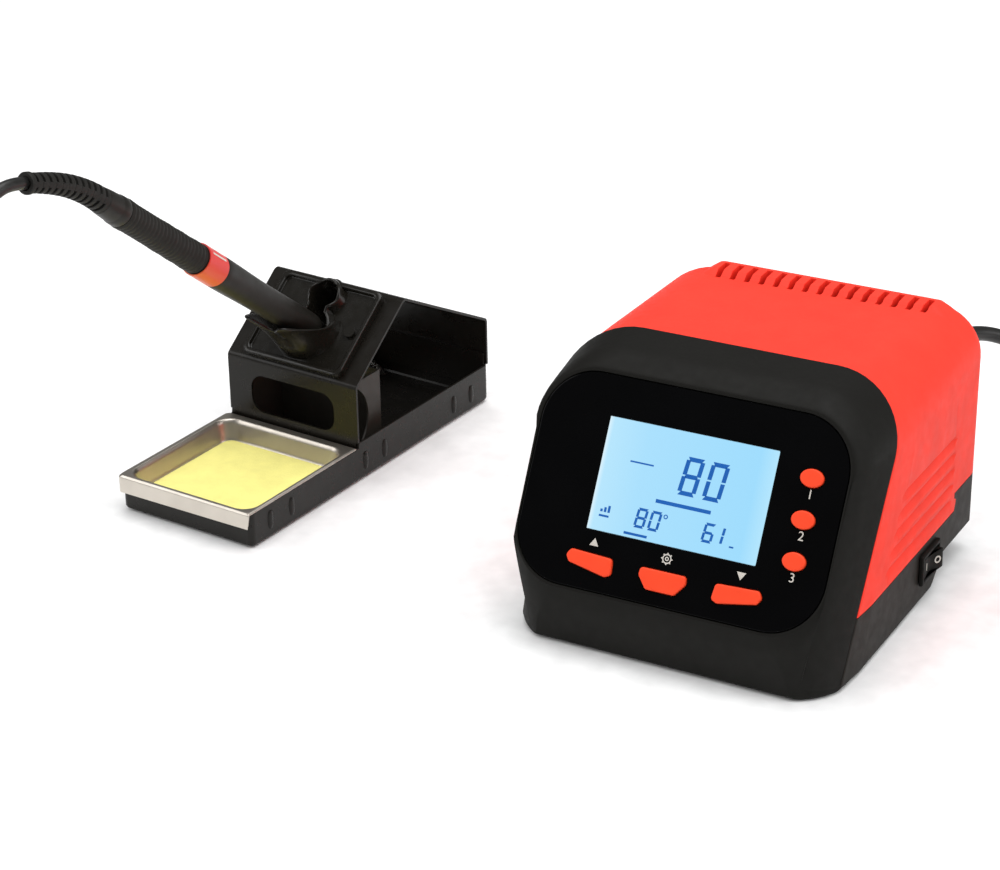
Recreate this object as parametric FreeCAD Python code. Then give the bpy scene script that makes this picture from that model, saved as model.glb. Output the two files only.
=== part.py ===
"""Soldering iron station: control unit, iron holder with sponge tray, soldering iron and their two cords.

Millimetres, +Z up, the bench at z = 0.  +X points to the right of the control unit as a user sees it and
+Y away from the user.  The origin is on the bench under the middle of the station without its cords.
"""
import FreeCAD, Part
import math
import os

V = FreeCAD.Vector
Placement = FreeCAD.Placement
Rotation = FreeCAD.Rotation
AXIS_X, AXIS_Y, AXIS_Z = V(1, 0, 0), V(0, 1, 0), V(0, 0, 1)

# ---------------------------------------------------------------- where the two things stand on the bench
UNIT_AT = V(103.75, -60.46, 0)       # control unit: middle of its width, foot of the seam behind the bezel
STAND_AT = V(-147.65, -54.06, 0)     # iron holder: middle of its front edge
STAND_TURN = -5.9                   # the holder stands slightly turned, degrees about Z
FIT = 0.15                          # clearance between pieces that slot together
SLACK = 0.35                        # clearance round pieces that move

# ---------------------------------------------------------------- control unit
TILT = 29.0                         # the front leans back by this many degrees
UNIT_HALF = 80.0                    # half width at the seam
WALL = 2.6
SEAM_TOP = 135.8                    # height of the seam measured up the lean
BEZEL_DEPTH = 27.0                  # from the seam plane to the front face
FOLD_DEPTH = 21.0                   # where the bezel's sides turn towards the front face
UNIT_REAR = 154.0
REAR_EDGE = 4.5                     # bevel round the rear
ROOF = 117.0
HUMP_TOP = 119.4
FOLD_HALF = 76.3                    # half width at that fold
CHIN_Y = -15.2                      # the casing is cut upright here below the panel
# plan of the casing at several heights: z, half width, front, radius of its front corners
FOOTPRINT = [(-1, 77.4, -14.2, 26.6), (0, 77.4, -14.2, 26.6), (2, 78.8, -15.1, 27.4), (14, 79.6, CHIN_Y, 28),
             (34, 80.6, CHIN_Y, 28), (140, 81, CHIN_Y, 28)]
SPLIT = 28.8                        # joint between the red and the black shell
SPLIT_REAR = 38.0
SPLIT_STEP_Y = 127.0
LOUVRES, LOUVRE_TOP, LOUVRE_PITCH, LOUVRE_DEEP = 5, 68.0, 7.4, 1.5
STEP_Y = (102.0, 117.0)             # the underside climbs between these two places
STEP_RISE = 13.6
PANEL_HALF, PANEL_LOW, PANEL_HIGH, PANEL_CORNER = 70.9, 19.9, 112.1, 24.0
PANEL_THICK = 2.5
BEZEL_BACK = 21.0                   # inner face of the wall behind the glossy panel
LCD_HALF, LCD_LOW, LCD_HIGH = 39.2, 45.7, 94.7
CHANNEL_X = 55.5
CHANNEL_V = (86.3, 68.7, 51.1)
CHANNEL_SIZE = (10.4, 7.8)
BUTTON_PROUD = 1.3
BUTTON_TRAVEL = 0.8
FOOT_RADIUS, FOOT_DEEP = 6.0, 1.4
UNIT_FEET = [(-56, 10), (56, 10), (-58, 88), (58, 88)]
BOARD_W = 15.0                      # back of the front circuit board, above the seam plane
SWITCH_Y, SWITCH_Z = 96.5, 18.2     # middle of the power switch on the right-hand side
TRUNNION = 1.2                      # radius of the pin that the rocker turns on
ROCKER_SWING = 11.0                 # the rocker lies this far either side of its middle
GLAND_AT = (52.0, 81.0)             # x and z of the mains inlet on the rear panel
SOCKET_AT = (-40.0, 81.0)
FUSE_AT = (8.0, 81.0)

# ---------------------------------------------------------------- iron holder
STAND_HALF, STAND_LENGTH = 38.75, 192.5
SHEET = 1.2
PAD = 1.0                           # feet under the holder
FLANGE_FRONT, FLANGE_REAR = 17.9, 20.5
HOUSE_Y, HOUSE_Z = 82.5, 49.9       # foot of the sloping face
RIDGE_Y, RIDGE_Z = 123.3, 81.3
REAR_Z = 45.2
SLOPE = math.degrees(math.atan2(RIDGE_Z - HOUSE_Z, RIDGE_Y - HOUSE_Y))
TRAY_HALF, TRAY_FRONT, TRAY_REAR, TRAY_TOP = 40.0, -1.7, 81.2, 18.8
TRAY_FLOOR = 7.4
SPONGE_THICK = 2.4
TRAY_SHEET, TRAY_LIP = 0.8, 10.0
RIB_TOP = 14.5                      # top of the small ribs pressed into the pan's flange

# ---------------------------------------------------------------- iron, measured along its axis from the plate
IRON_DROP = 38.6                    # the iron points down by this many degrees
IRON_ENTRY_S = 23.0                 # where its axis crosses the sloping plate, measured up the slope
HANDLE_START, LABEL_START, LABEL_END, GRIP_END, COLLAR_END = 2.2, 89.0, 105.0, 167.0, 182.0
TIP_END = -72.0
BARREL_RADIUS, NUT_RADIUS = 3.2, 5.8
IRON_DRAW = 85.0

# ---------------------------------------------------------------- cords
MAINS_D, IRON_D = 7.0, 5.6
MAINS_LEAVE, IRON_LEAVE = 30.0, 26.0    # from a coil to the plug or connector


# ================================================================ helpers
def box(x0, x1, y0, y1, z0, z1):
    return Part.makeBox(x1 - x0, y1 - y0, z1 - z0, V(x0, y0, z0))


def rounded_edges(points, radii):
    """Straight runs joined by tangent arcs; a radius of 0 leaves a corner sharp."""
    edges = []
    start = points[0]
    for before, corner, after, radius in zip(points, points[1:], points[2:], radii):
        into, out = (corner - before).normalize(), (after - corner).normalize()
        turn = into.getAngle(out)
        if radius == 0 or turn < 1e-4:
            edges.append(Part.LineSegment(start, corner).toShape())
            start = corner
            continue
        reach = radius * math.tan(turn / 2)
        first, last = corner - into * reach, corner + out * reach
        inward = (out - into).normalize()
        middle = corner + inward * (radius / math.cos(turn / 2) - radius)
        edges.append(Part.LineSegment(start, first).toShape())
        edges.append(Part.Arc(first, middle, last).toShape())
        start = last
    edges.append(Part.LineSegment(start, points[-1]).toShape())
    return edges


def outline(half, low, high, r_low, r_high):
    """Rounded rectangle in the local XY plane, the same both sides of x = 0."""
    def corner(cx, cy, r, a):
        pick = [V(cx + r * math.cos(math.radians(a + k)), cy + r * math.sin(math.radians(a + k)), 0)
                for k in (0, 45, 90)]
        return pick[0], Part.Arc(*pick).toShape(), pick[2]
    corners = [corner(half - r_low, low + r_low, r_low, 270), corner(half - r_high, high - r_high, r_high, 0),
               corner(r_high - half, high - r_high, r_high, 90), corner(r_low - half, low + r_low, r_low, 180)]
    edges = []
    for k, (_, arc, end) in enumerate(corners):
        edges.append(arc)
        edges.append(Part.LineSegment(end, corners[(k + 1) % 4][0]).toShape())
    return Part.Wire(edges)


def slab(wire, low, high):
    """A flat wire in the local XY plane, grown from w = low to w = high."""
    face = Part.Face(wire)
    face.translate(V(0, 0, low))
    return face.extrude(V(0, 0, high - low))


def rod(radius, low, high, x=0.0, y=0.0):
    return Part.makeCylinder(radius, high - low, V(x, y, low))


def turned(profile):
    """Solid of revolution about local Z from (radius, w) points."""
    points = [V(r, 0, w) for r, w in profile]
    wire = Part.makePolygon(points + [points[0]])
    return Part.Face(wire).revolve(V(0, 0, 0), AXIS_Z, 360)


def prism_x(points, half):
    """A (y, z) polygon grown both ways along X."""
    corners = [V(-half, y, z) for y, z in points]
    return Part.Face(Part.makePolygon(corners + [corners[0]])).extrude(V(2 * half, 0, 0))


def joined(shapes):
    first, rest = shapes[0], shapes[1:]
    return first.fuse(rest).removeSplitter() if rest else first


def group(shapes):
    return Part.makeCompound(shapes)


def placed(shape, placement):
    moved = shape.copy()
    moved.Placement = placement.multiply(moved.Placement)
    return moved


def upright(y):
    """Local XY becomes the XZ plane at this y; local Z points to the front."""
    return Placement(V(0, y, 0), Rotation(AXIS_X, 90))


PANEL = Placement(V(0, 0, 0), Rotation(AXIS_X, 90 - TILT))    # local x, v up the lean, w out of the front
UNIT = Placement(UNIT_AT, Rotation())
STAND = Placement(STAND_AT, Rotation(AXIS_Z, STAND_TURN))
PLATE = Placement(V(0, HOUSE_Y, HOUSE_Z), Rotation(AXIS_X, SLOPE))   # local x, s up the slope, h out of it
IRON_ENTRY = PLATE.multVec(V(0, IRON_ENTRY_S, 0))
IRON = Placement(IRON_ENTRY, Rotation(AXIS_X, 90 - IRON_DROP))       # local w runs up the iron


# ================================================================ control unit: casing
def lean(half, low, high, r_low, r_high, w):
    wire = outline(half, low, high, r_low, r_high)
    wire.translate(V(0, 0, w))
    return placed(wire, PANEL)


def rear_ring(half, low, high, r_low, r_high, y):
    return placed(outline(half, low, high, r_low, r_high), upright(y))


def foot_v(w, z=0.0):
    """Where a plane w in front of the seam comes down to height z, measured up the lean."""
    lean_rad = math.radians(TILT)
    return (z - w * math.sin(lean_rad)) / math.cos(lean_rad)


def footprint(inset):
    """Upright walls under the lean: flat in front, with large round corners."""
    wires = []
    for z, half, front, radius in FOOTPRINT:
        wire = outline(half - inset, front + inset, UNIT_REAR + 40, radius - inset, 1)
        wire.translate(V(0, 0, z))
        wires.append(wire)
    return Part.makeLoft(wires, True, True)


def bezel_body(inset):
    back = lean(UNIT_HALF - inset, foot_v(0) + inset, SEAM_TOP - inset, 3, 33 - inset, 0)
    fold = lean(FOLD_HALF - inset, foot_v(FOLD_DEPTH) + inset, 122.7 - inset, 6, 31 - inset, FOLD_DEPTH)
    return back, fold


def front_bezel(buttons):
    """Hollow cap in front of the seam; the glossy panel is let into its face."""
    back, fold = bezel_body(0)
    face = lean(73.6, foot_v(BEZEL_DEPTH), 114.4, 6, 26, BEZEL_DEPTH)
    outer = Part.makeLoft([back, fold], True, True).fuse(Part.makeLoft([fold, face], True, True))
    outer = outer.common(footprint(0))
    inner = Part.makeLoft(list(bezel_body(WALL)), True, True).common(footprint(WALL))
    seat = slab(outline(PANEL_HALF + FIT, PANEL_LOW - FIT, PANEL_HIGH + FIT, PANEL_CORNER, PANEL_CORNER),
                BEZEL_DEPTH - PANEL_THICK, BEZEL_DEPTH + 1)
    display = slab(outline(LCD_HALF + 5.4, LCD_LOW - 4.2, LCD_HIGH + 4.2, 2, 2), BEZEL_BACK - 1, BEZEL_DEPTH)
    pockets = [slab(shape(1.4), BEZEL_BACK - 1, BEZEL_DEPTH) for shape, _ in buttons.values()]
    bosses = [rod(3.4, BOARD_W + 1.65, BEZEL_BACK + 0.5, x, v) for x, v in BOARD_SCREWS]
    bores = [rod(1.35, BOARD_W, BOARD_W + 7, x, v) for x, v in BOARD_SCREWS]
    body = outer.cut([inner]).fuse([placed(boss, PANEL) for boss in bosses])
    return body.cut([placed(tool, PANEL) for tool in [seat, display] + pockets + bores] + foot_recesses())


def shell_body():
    seam = lean(UNIT_HALF, foot_v(0), SEAM_TOP, 3, 33, 0)
    waist = rear_ring(UNIT_HALF, 0, ROOF, 3, 32, UNIT_REAR - REAR_EDGE)
    end = rear_ring(UNIT_HALF - REAR_EDGE, REAR_EDGE, ROOF - REAR_EDGE, 3, 29, UNIT_REAR)
    body = Part.makeLoft([seam, waist], True, True).fuse(Part.makeLoft([waist, end], True, True))
    return body.common(footprint(0)).fuse(hump())


def hump():
    """Raised strip across the rear of the roof, where the vent slots are."""
    def level(x0, x1, y0, y1, z):
        return Part.makePolygon([V(x0, y0, z), V(x1, y0, z), V(x1, y1, z), V(x0, y1, z), V(x0, y0, z)])
    return Part.makeLoft([level(-61, 67, 130, 153.5, 111), level(-53, 60, 139, 150.5, HUMP_TOP)], True, True)


def shell_cavity():
    seam = lean(UNIT_HALF - WALL, foot_v(0) + WALL, SEAM_TOP - WALL, 2, 33 - WALL, 0)
    waist = rear_ring(UNIT_HALF - WALL, WALL, ROOF - WALL, 2, 32 - WALL, UNIT_REAR - REAR_EDGE - 1)
    end = rear_ring(UNIT_HALF - REAR_EDGE - 3, WALL + 5, ROOF - REAR_EDGE - 3, 2, 26, UNIT_REAR - WALL)
    cavity = Part.makeLoft([seam, waist], True, True).fuse(Part.makeLoft([waist, end], True, True))
    return cavity.common(footprint(WALL)).cut(prism_x(step_profile(WALL), UNIT_HALF + 5))


def step_profile(lift):
    """Side view of the space under the raised rear; the ramp runs on below the floor, so it crosses it cleanly."""
    y0, y1 = STEP_Y
    run = (y1 - y0) / STEP_RISE
    return [(y0 - lift * 0.5 - run * (lift + 5), -5), (y1 - lift * 0.5, STEP_RISE + lift),
            (UNIT_REAR + 5, STEP_RISE + lift), (UNIT_REAR + 5, -5)]


def shell():
    wall = shell_body().cut(shell_cavity())
    return wall.cut(prism_x(step_profile(0), UNIT_HALF + 5))


def lower_region():
    step = [(SPLIT_STEP_Y + 0.5, SPLIT), (SPLIT_STEP_Y + 2.3, 34.2), (SPLIT_STEP_Y, 35.2), (SPLIT_STEP_Y, SPLIT_REAR)]
    return prism_x([(-60, -6), (-60, SPLIT)] + step + [(UNIT_REAR + 5, SPLIT_REAR), (UNIT_REAR + 5, -6)],
                   UNIT_HALF + 6)


def vent_slots():
    slots = [box(-1.6, 1.6, 134.5, 147.5, ROOF - 8, HUMP_TOP + 4) for _ in range(15)]
    for k, slot in enumerate(slots):
        slot.translate(V(7.05 * (k - 7), 0, 0))
    return slots


def louvres():
    """Five level V grooves in each side; their ends follow the lean of the seam."""
    grooves = []
    for k in range(LOUVRES):
        top = LOUVRE_TOP - LOUVRE_PITCH * k
        front, back = 61.0 - 4.1 * k, min(142.0 - 4.2 * k, SPLIT_STEP_Y)
        for side in (-1, 1):
            out, deep = side * (UNIT_HALF + 1.0), side * (UNIT_HALF - LOUVRE_DEEP)
            profile = [(out, top + 0.8), (out, top - LOUVRE_PITCH), (side * (UNIT_HALF - 0.3), top - LOUVRE_PITCH + 0.4),
                       (deep, top - 4.0), (side * (UNIT_HALF - 0.3), top)]
            corners = [V(x, front, z) for x, z in profile]
            grooves.append(Part.Face(Part.makePolygon(corners + [corners[0]])).extrude(V(0, back - front, 0)))
    return grooves


def upper_shell(wall):
    opening = placed(slab(outline(64, 44, 102, 6, 16), -1, 6), upright(UNIT_REAR))
    posts = [rod(4, SPLIT, 50, x, y) for x, y in BOSSES]
    bores = [rod(1.6, SPLIT - 1, 47, x, y) for x, y in BOSSES]
    webs = [box(min(x, side * 78.2), max(x, side * 78.2), y - 1, y + 1, SPLIT + 2, 46)
            for (x, y), side in zip(BOSSES, (-1, 1, -1, 1))]
    top = wall.cut(lower_region()).cut([opening] + vent_slots() + louvres())
    return top.fuse(posts + webs).cut(bores)


BOSSES = [(-66, 34), (66, 34), (-66, 121), (66, 121)]


def lower_shell(wall):
    switch_hole = box(70, 90, SWITCH_Y - 9.7, SWITCH_Y + 9.7, SWITCH_Z - 6.5, SWITCH_Z + 6.5)
    base = {(x, y): (WALL - 1 if y < STEP_Y[0] else STEP_RISE + WALL - 1) for x, y in BOSSES}
    posts = [rod(4.5, base[x, y], SPLIT - FIT, x, y) for x, y in BOSSES]
    bores = [rod(2.0, -1, 40, x, y) for x, y in BOSSES]
    sinks = [rod(3.6, -1, base[x, y] + 6, x, y) for x, y in BOSSES]
    seat = box(UNIT_HALF - 0.5, 90, SWITCH_Y - 10.7 - FIT, SWITCH_Y + 10.7 + FIT, SWITCH_Z - 7.4 - FIT,
               SWITCH_Z + 7.4 + FIT)                # flat land that the switch's flange lies on
    return wall.common(lower_region()).cut([switch_hole, seat]).fuse(posts).cut(bores + sinks + foot_recesses())


def shell_screws():
    screws = []
    for x, y in BOSSES:
        head = WALL - 1 if y < STEP_Y[0] else STEP_RISE + WALL - 1
        screws.append(rod(3.1, head + 3.9, head + 6, x, y).fuse(rod(1.45, head + 6, 46, x, y)))
    return group(screws)


def rear_panel():
    plate = placed(slab(outline(64 - FIT, 44 + FIT, 102 - FIT, 6, 16), 0, WALL + 2.2), upright(UNIT_REAR))
    flange = placed(slab(outline(66, 42, 104, 8, 18), WALL + 0.4, WALL + 2.2), upright(UNIT_REAR))
    holes = [placed(rod(r, -5, 10, x, z), upright(UNIT_REAR)) for (x, z), r in
             ((GLAND_AT, 6.0), (SOCKET_AT, 7.6), (FUSE_AT, 5.6))]
    return plate.fuse(flange).cut(holes)


def foot_recesses():
    return [rod(FOOT_RADIUS + FIT, -1, FOOT_DEEP + 0.05, x, y) for x, y in UNIT_FEET]


def unit_feet():
    """Rubber discs let into the floor of the bezel and of the lower shell."""
    disc = turned([(0, 0), (FOOT_RADIUS - 0.6, 0), (FOOT_RADIUS, 0.5), (FOOT_RADIUS, FOOT_DEEP), (0, FOOT_DEEP)])
    return group([disc.translated(V(x, y, 0)) for x, y in UNIT_FEET])


# ================================================================ control unit: front panel
def teardrop(side, grow):
    """Up or down button: tall towards the middle of the panel, narrow outwards."""
    points = [(43.6, 30.2), (26.2, 27.0), (23.2, 28.2), (24.0, 35.2), (43.6, 36.0), (45.4, 33.0)]
    loop = rounded_loop([V(side * x, v, 0) for x, v in points], 1.5)
    return loop.makeOffset2D(grow) if grow else loop


def trapezoid(grow):
    points = [(-10.6, 35.0), (10.6, 35.0), (10.9, 31.4), (6.6, 26.0), (-6.6, 26.0), (-10.9, 31.4)]
    loop = rounded_loop([V(x, v, 0) for x, v in points], 1.6)
    return loop.makeOffset2D(grow) if grow else loop


def rounded_loop(corners, radius):
    middle = (corners[0] + corners[-1]) * 0.5
    path = [middle] + corners + [middle]
    return Part.Wire(rounded_edges(path, [radius] * len(corners)))


def oval(v, grow):
    width, height = CHANNEL_SIZE
    curve = Part.Ellipse(V(CHANNEL_X, v, 0), width / 2 + grow, height / 2 + grow)
    return Part.Wire([curve.toShape()])


def panel_buttons():
    """Outline, as a function of how far it is grown, and centre of every button on the front."""
    buttons = {f"channel_button_{k + 1}": (lambda grow, v=v: oval(v, grow), (CHANNEL_X, v))
               for k, v in enumerate(CHANNEL_V)}
    buttons["up_button"] = (lambda grow: teardrop(-1, grow), (-34.5, 32.2))
    buttons["set_button"] = (trapezoid, (0.0, 30.8))
    buttons["down_button"] = (lambda grow: teardrop(1, grow), (34.5, 32.2))
    return buttons


def button(shape, centre):
    """Cap through the panel, a flange that keeps it in, and a stem over its switch."""
    cap_top, panel_back = BEZEL_DEPTH + BUTTON_PROUD, BEZEL_DEPTH - PANEL_THICK
    flange = slab(shape(1.0), panel_back - 1.6, panel_back - 0.3)
    cap = slab(shape(0), panel_back - 0.3, cap_top)
    stem = rod(2.0, BOARD_W + 7.2, panel_back - 1.6, *centre)
    return flange.fuse(cap).fuse(stem)


def display_panel(buttons):
    plate = slab(outline(PANEL_HALF, PANEL_LOW, PANEL_HIGH, PANEL_CORNER, PANEL_CORNER),
                 BEZEL_DEPTH - PANEL_THICK, BEZEL_DEPTH)
    window = box(-LCD_HALF, LCD_HALF, LCD_LOW, LCD_HIGH, 10, 40)
    holes = [slab(shape(SLACK), 10, 40) for shape, _ in buttons.values()]
    return plate.cut([window] + holes)


def lcd_window():
    return box(-LCD_HALF + FIT, LCD_HALF - FIT, LCD_LOW + FIT, LCD_HIGH - FIT, BEZEL_DEPTH - 1.4, BEZEL_DEPTH - 0.1)


def lcd_glass():
    return box(-42, 42, LCD_LOW - 2.4, LCD_HIGH + 2.4, BOARD_W + 7.0, BEZEL_DEPTH - PANEL_THICK - 0.1)


def lcd_backlight():
    tray = box(-44, 44, LCD_LOW - 3.6, LCD_HIGH + 3.6, BOARD_W + 1.6, BOARD_W + 6.9)
    return tray.cut(box(-41, 41, LCD_LOW - 1, LCD_HIGH + 1, BOARD_W + 5.0, BOARD_W + 8))


def front_board():
    plate = slab(outline(65, 22.5, 107.5, 10, 18), BOARD_W, BOARD_W + 1.6)
    return plate.cut([rod(1.6, BOARD_W - 1, BOARD_W + 3, x, v) for x, v in BOARD_SCREWS])


BOARD_SCREWS = [(-58, 40), (58, 36), (-54, 98), (54, 98)]


def board_screws():
    return group([rod(2.8, BOARD_W - 1.6, BOARD_W, x, v).fuse(rod(1.3, BOARD_W, BOARD_W + 5.5, x, v))
                  for x, v in BOARD_SCREWS])


def tact_switches(buttons):
    switches = []
    for _, (x, v) in buttons.values():
        body = box(x - 3, x + 3, v - 3, v + 3, BOARD_W + 1.6, BOARD_W + 5.2)
        switches.append(body.fuse(rod(1.7, BOARD_W + 5.2, BOARD_W + 6.1, x, v)))
    return group(switches)


# ================================================================ control unit: insides and electrics
def power_board():
    return box(-60, -1, 28, 92, 9.0, 10.6).cut([rod(1.7, 5, 20, x, y) for x, y in POWER_PILLARS])


CORE_X, CORE_Y = (9.0, 52.0), 26.0
POWER_PILLARS = [(-55, 33), (-6, 33), (-55, 87), (-6, 87)]


def board_pillars():
    return group([rod(3.2, WALL, 9.0, x, y) for x, y in POWER_PILLARS])


def board_parts():
    """Heatsink, two capacitors, a relay and the terminal block, standing on the power board."""
    z = 10.6
    fins = [box(-50 + 5 * k, -47.6 + 5 * k, 66, 80, z + 3, z + 22) for k in range(5)]
    sink = joined([box(-50, -27.6, 66, 80, z, z + 3)] + fins)
    return group([sink, rod(6.2, z, z + 21, -42, 52), rod(6.2, z, z + 21, -27, 52),
                  box(-20, -5, 58, 74, z, z + 15), box(-32, -12, 34, 42, z, z + 9)])


def transformer_core():
    outer = box(CORE_X[0], CORE_X[1], CORE_Y, CORE_Y + 58, 2 * WALL, 2 * WALL + 46)
    windows = [box(CORE_X[0] - 1, CORE_X[1] + 1, CORE_Y + a, CORE_Y + b, 2 * WALL + 9, 2 * WALL + 37)
               for a, b in ((8, 20), (38, 50))]
    return outer.cut(windows)


def transformer_winding():
    """Round the middle leg: two flat runs through the windows and a block at each end."""
    x0, x1 = CORE_X
    low, high = 2 * WALL + 9.4, 2 * WALL + 36.6
    ends = [box(x0 - 6.5, x0 - 0.4, CORE_Y + 8.4, CORE_Y + 49.6, low, high),
            box(x1 + 0.4, x1 + 6.5, CORE_Y + 8.4, CORE_Y + 49.6, low, high)]
    runs = [box(x0 - 0.5, x1 + 0.5, CORE_Y + a, CORE_Y + b, low, high) for a, b in ((8.4, 19.6), (38.4, 49.6))]
    return joined(ends + runs)


def transformer_bracket():
    return box(CORE_X[0] - 4, CORE_X[1] + 4, CORE_Y - 2, CORE_Y + 60, WALL, 2 * WALL)


def switch_housing():
    x_wall = UNIT_HALF - 0.5
    bezel = box(x_wall, x_wall + 1.9, SWITCH_Y - 10.7, SWITCH_Y + 10.7, SWITCH_Z - 7.4, SWITCH_Z + 7.4)
    body = box(x_wall - 17, x_wall + 0.1, SWITCH_Y - 9.4, SWITCH_Y + 9.4, SWITCH_Z - 6.2, SWITCH_Z + 6.2)
    pocket = box(x_wall - 8.5, x_wall + 5, SWITCH_Y - 8.9, SWITCH_Y + 8.9, SWITCH_Z - 5.2, SWITCH_Z + 5.2)
    blades = [box(x_wall - 25, x_wall - 16.9, SWITCH_Y + dy - 0.4, SWITCH_Y + dy + 0.4, SWITCH_Z - 2.4,
                  SWITCH_Z + 2.4) for dy in (-6, 0, 6)]
    bearing = rod(TRUNNION + 0.05, -6.0, 6.0).translated(ROCKER_PIVOT)
    return joined([bezel, body]).cut([pocket, bearing]).fuse(blades)


ROCKER_PIVOT = V(UNIT_HALF - 1.2, SWITCH_Y, SWITCH_Z)


def power_rocker():
    """Its two faces meet in a shallow valley; it rests with the front half pressed in, which is on."""
    faces = [(3.6, -8.0), (1.9, 0.0), (3.6, 8.0), (-1.6, 7.2), (-4.4, 2.2), (-4.4, -2.2), (-1.6, -7.2)]
    corners = [V(x, y, -4.8) for x, y in faces]
    body = Part.Face(Part.makePolygon(corners + [corners[0]])).extrude(V(0, 0, 9.6))
    body = body.rotated(V(0, 0, 0), AXIS_Z, -ROCKER_SWING)
    return body.fuse(rod(TRUNNION, -5.8, 5.8)).translated(ROCKER_PIVOT)


def mains_gland():
    """Flanged strain relief: clamped in the rear panel, then a taper of rings round the cord."""
    rings = [(7.4, 0), (7.4, 3.0), (6.4, 3.4)]
    length, count = 30.0, 6
    for k in range(count):
        w0 = 3.4 + (length - 3.4) * k / count
        w1 = 3.4 + (length - 3.4) * (k + 0.62) / count
        w2 = 3.4 + (length - 3.4) * (k + 1) / count
        r = 6.4 - 1.5 * k / count
        rings += [(r, w0), (r, w1), (r - 1.0, w1)]
        rings += [(r - 1.0, w2)] if k < count - 1 else []
    rings.append((4.3, length))
    sleeve = turned([(MAINS_D / 2 + 0.05, -8.0), (5.8, -8.0), (5.8, 0)] + rings + [(MAINS_D / 2 + 0.05, length)])
    return placed(sleeve, rear_facing(*GLAND_AT))


def rear_facing(x, z):
    """Local w points out of the rear panel."""
    return Placement(V(x, UNIT_REAR + 0.02, z), Rotation(AXIS_X, -90))


def iron_socket():
    shell_ring = turned([(6.2, -10), (7.4, -10), (7.4, 0), (10.2, 0), (10.2, 2.2), (7.9, 2.2), (7.9, 9.0),
                         (6.2, 9.0)])
    insert = rod(6.2, -9.5, 3.0).cut([rod(0.9, -10, 4, 3.4 * math.cos(a), 3.4 * math.sin(a))
                                      for a in [math.radians(72 * k + 90) for k in range(5)]])
    return placed(shell_ring.fuse(insert), rear_facing(*SOCKET_AT))


def socket_nut():
    nut = slab(Part.makePolygon([V(11 * math.cos(math.radians(60 * k)), 11 * math.sin(math.radians(60 * k)), 0)
                                 for k in range(7)]), -7.6, -5.2)
    return placed(nut.cut(rod(7.45, -10, 0)), rear_facing(*SOCKET_AT))


def fuse_holder():
    body = rod(5.4, -30, 0).fuse([rod(7.6, 0, 2.0), rod(6.0, 2.0, 7.5)])
    slot = box(-7, 7, -0.6, 0.6, 6.6, 9)
    return placed(body.cut([slot, rod(2.9, -28, -2)]), rear_facing(*FUSE_AT))


def fuse():
    return placed(joined([rod(2.6, -26, -4)]), rear_facing(*FUSE_AT))


# ================================================================ iron holder
def stand_base():
    """Folded pan: floor, a low flange at the front and sides, a taller one round the housing."""
    outer = box(-STAND_HALF, STAND_HALF, 0, STAND_LENGTH, PAD, FLANGE_REAR)
    lowered = box(-50, 50, -5, HOUSE_Y + 0.6, FLANGE_FRONT, 60)
    inner = box(-STAND_HALF + SHEET, STAND_HALF - SHEET, SHEET, STAND_LENGTH - SHEET, PAD + SHEET, 60)
    ribs = [Part.makeCylinder(1.5, RIB_TOP - 5, V(side * (STAND_HALF - 0.7), y, 5.0))
            for y in (14, 30, 88, 103.5, 162, 177) for side in (-1, 1)]
    return outer.cut([lowered]).fuse(ribs).cut(inner)


def strip(points, radii, half, thick):
    """Sheet folded along X: (y, z) outer points, the sheet lying on their right-hand side."""
    outer = [V(0, y, z) for y, z in points]
    inner = []
    for k, p in enumerate(outer):
        sides = []
        if k > 0:
            sides.append((p - outer[k - 1]).normalize())
        if k < len(outer) - 1:
            sides.append((outer[k + 1] - p).normalize())
        normals = [V(0, d.z, -d.y) for d in sides]
        if len(normals) == 1:
            inner.append(p + normals[0] * thick)
        else:
            mean = (normals[0] + normals[1]).normalize()
            inner.append(p + mean * (thick / mean.dot(normals[0])))
    small = [max(r - thick, 0.3) for r in radii]
    edges = rounded_edges(outer, radii) + [Part.LineSegment(outer[-1], inner[-1]).toShape()]
    edges += [e for e in rounded_edges(inner, small)] + [Part.LineSegment(inner[0], outer[0]).toShape()]
    face = Part.Face(Part.Wire(Part.__sortEdges__(edges)))
    face.translate(V(-half, 0, 0))
    return face.extrude(V(2 * half, 0, 0))


def stand_housing():
    """One bent sheet: front wall, sloping face, roof and back, open at both sides."""
    above = strip([(HOUSE_Y, FLANGE_REAR + 0.1), (HOUSE_Y, HOUSE_Z), (RIDGE_Y, RIDGE_Z), (STAND_LENGTH, REAR_Z),
                   (STAND_LENGTH, FLANGE_REAR + 0.1)], [3, 4, 3], STAND_HALF, SHEET)
    inside = STAND_HALF - SHEET - 0.1
    floor = PAD + SHEET + 0.05
    skirt = strip([(HOUSE_Y + 14, floor), (HOUSE_Y, floor), (HOUSE_Y, FLANGE_REAR + 2)], [0], inside, SHEET)
    rear = STAND_LENGTH - SHEET - 0.1
    back = box(-inside, inside, rear - SHEET, rear, 8, FLANGE_REAR + 6)
    back = back.fuse(box(-inside, inside, rear - SHEET, rear + 0.6, FLANGE_REAR + 0.2, FLANGE_REAR + 6))
    window = placed(slab(outline(25, 22.6, 42.2, 7.5, 7.5), -3, 3), upright(HOUSE_Y))
    seat = placed(slab(outline(20, 4.5, 47, 12, 12), -3, 3), PLATE)
    notch = [box(x - 3, x + 3, HOUSE_Y - 1, HOUSE_Y + 3, 12.5, 15.5) for x in (-18, 12)]
    holes = [placed(rod(1.7, -4, 4, x, s), PLATE) for x, s in HOLDER_SCREWS]
    return joined([above, skirt, back]).cut([window, seat] + notch + holes)


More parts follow.
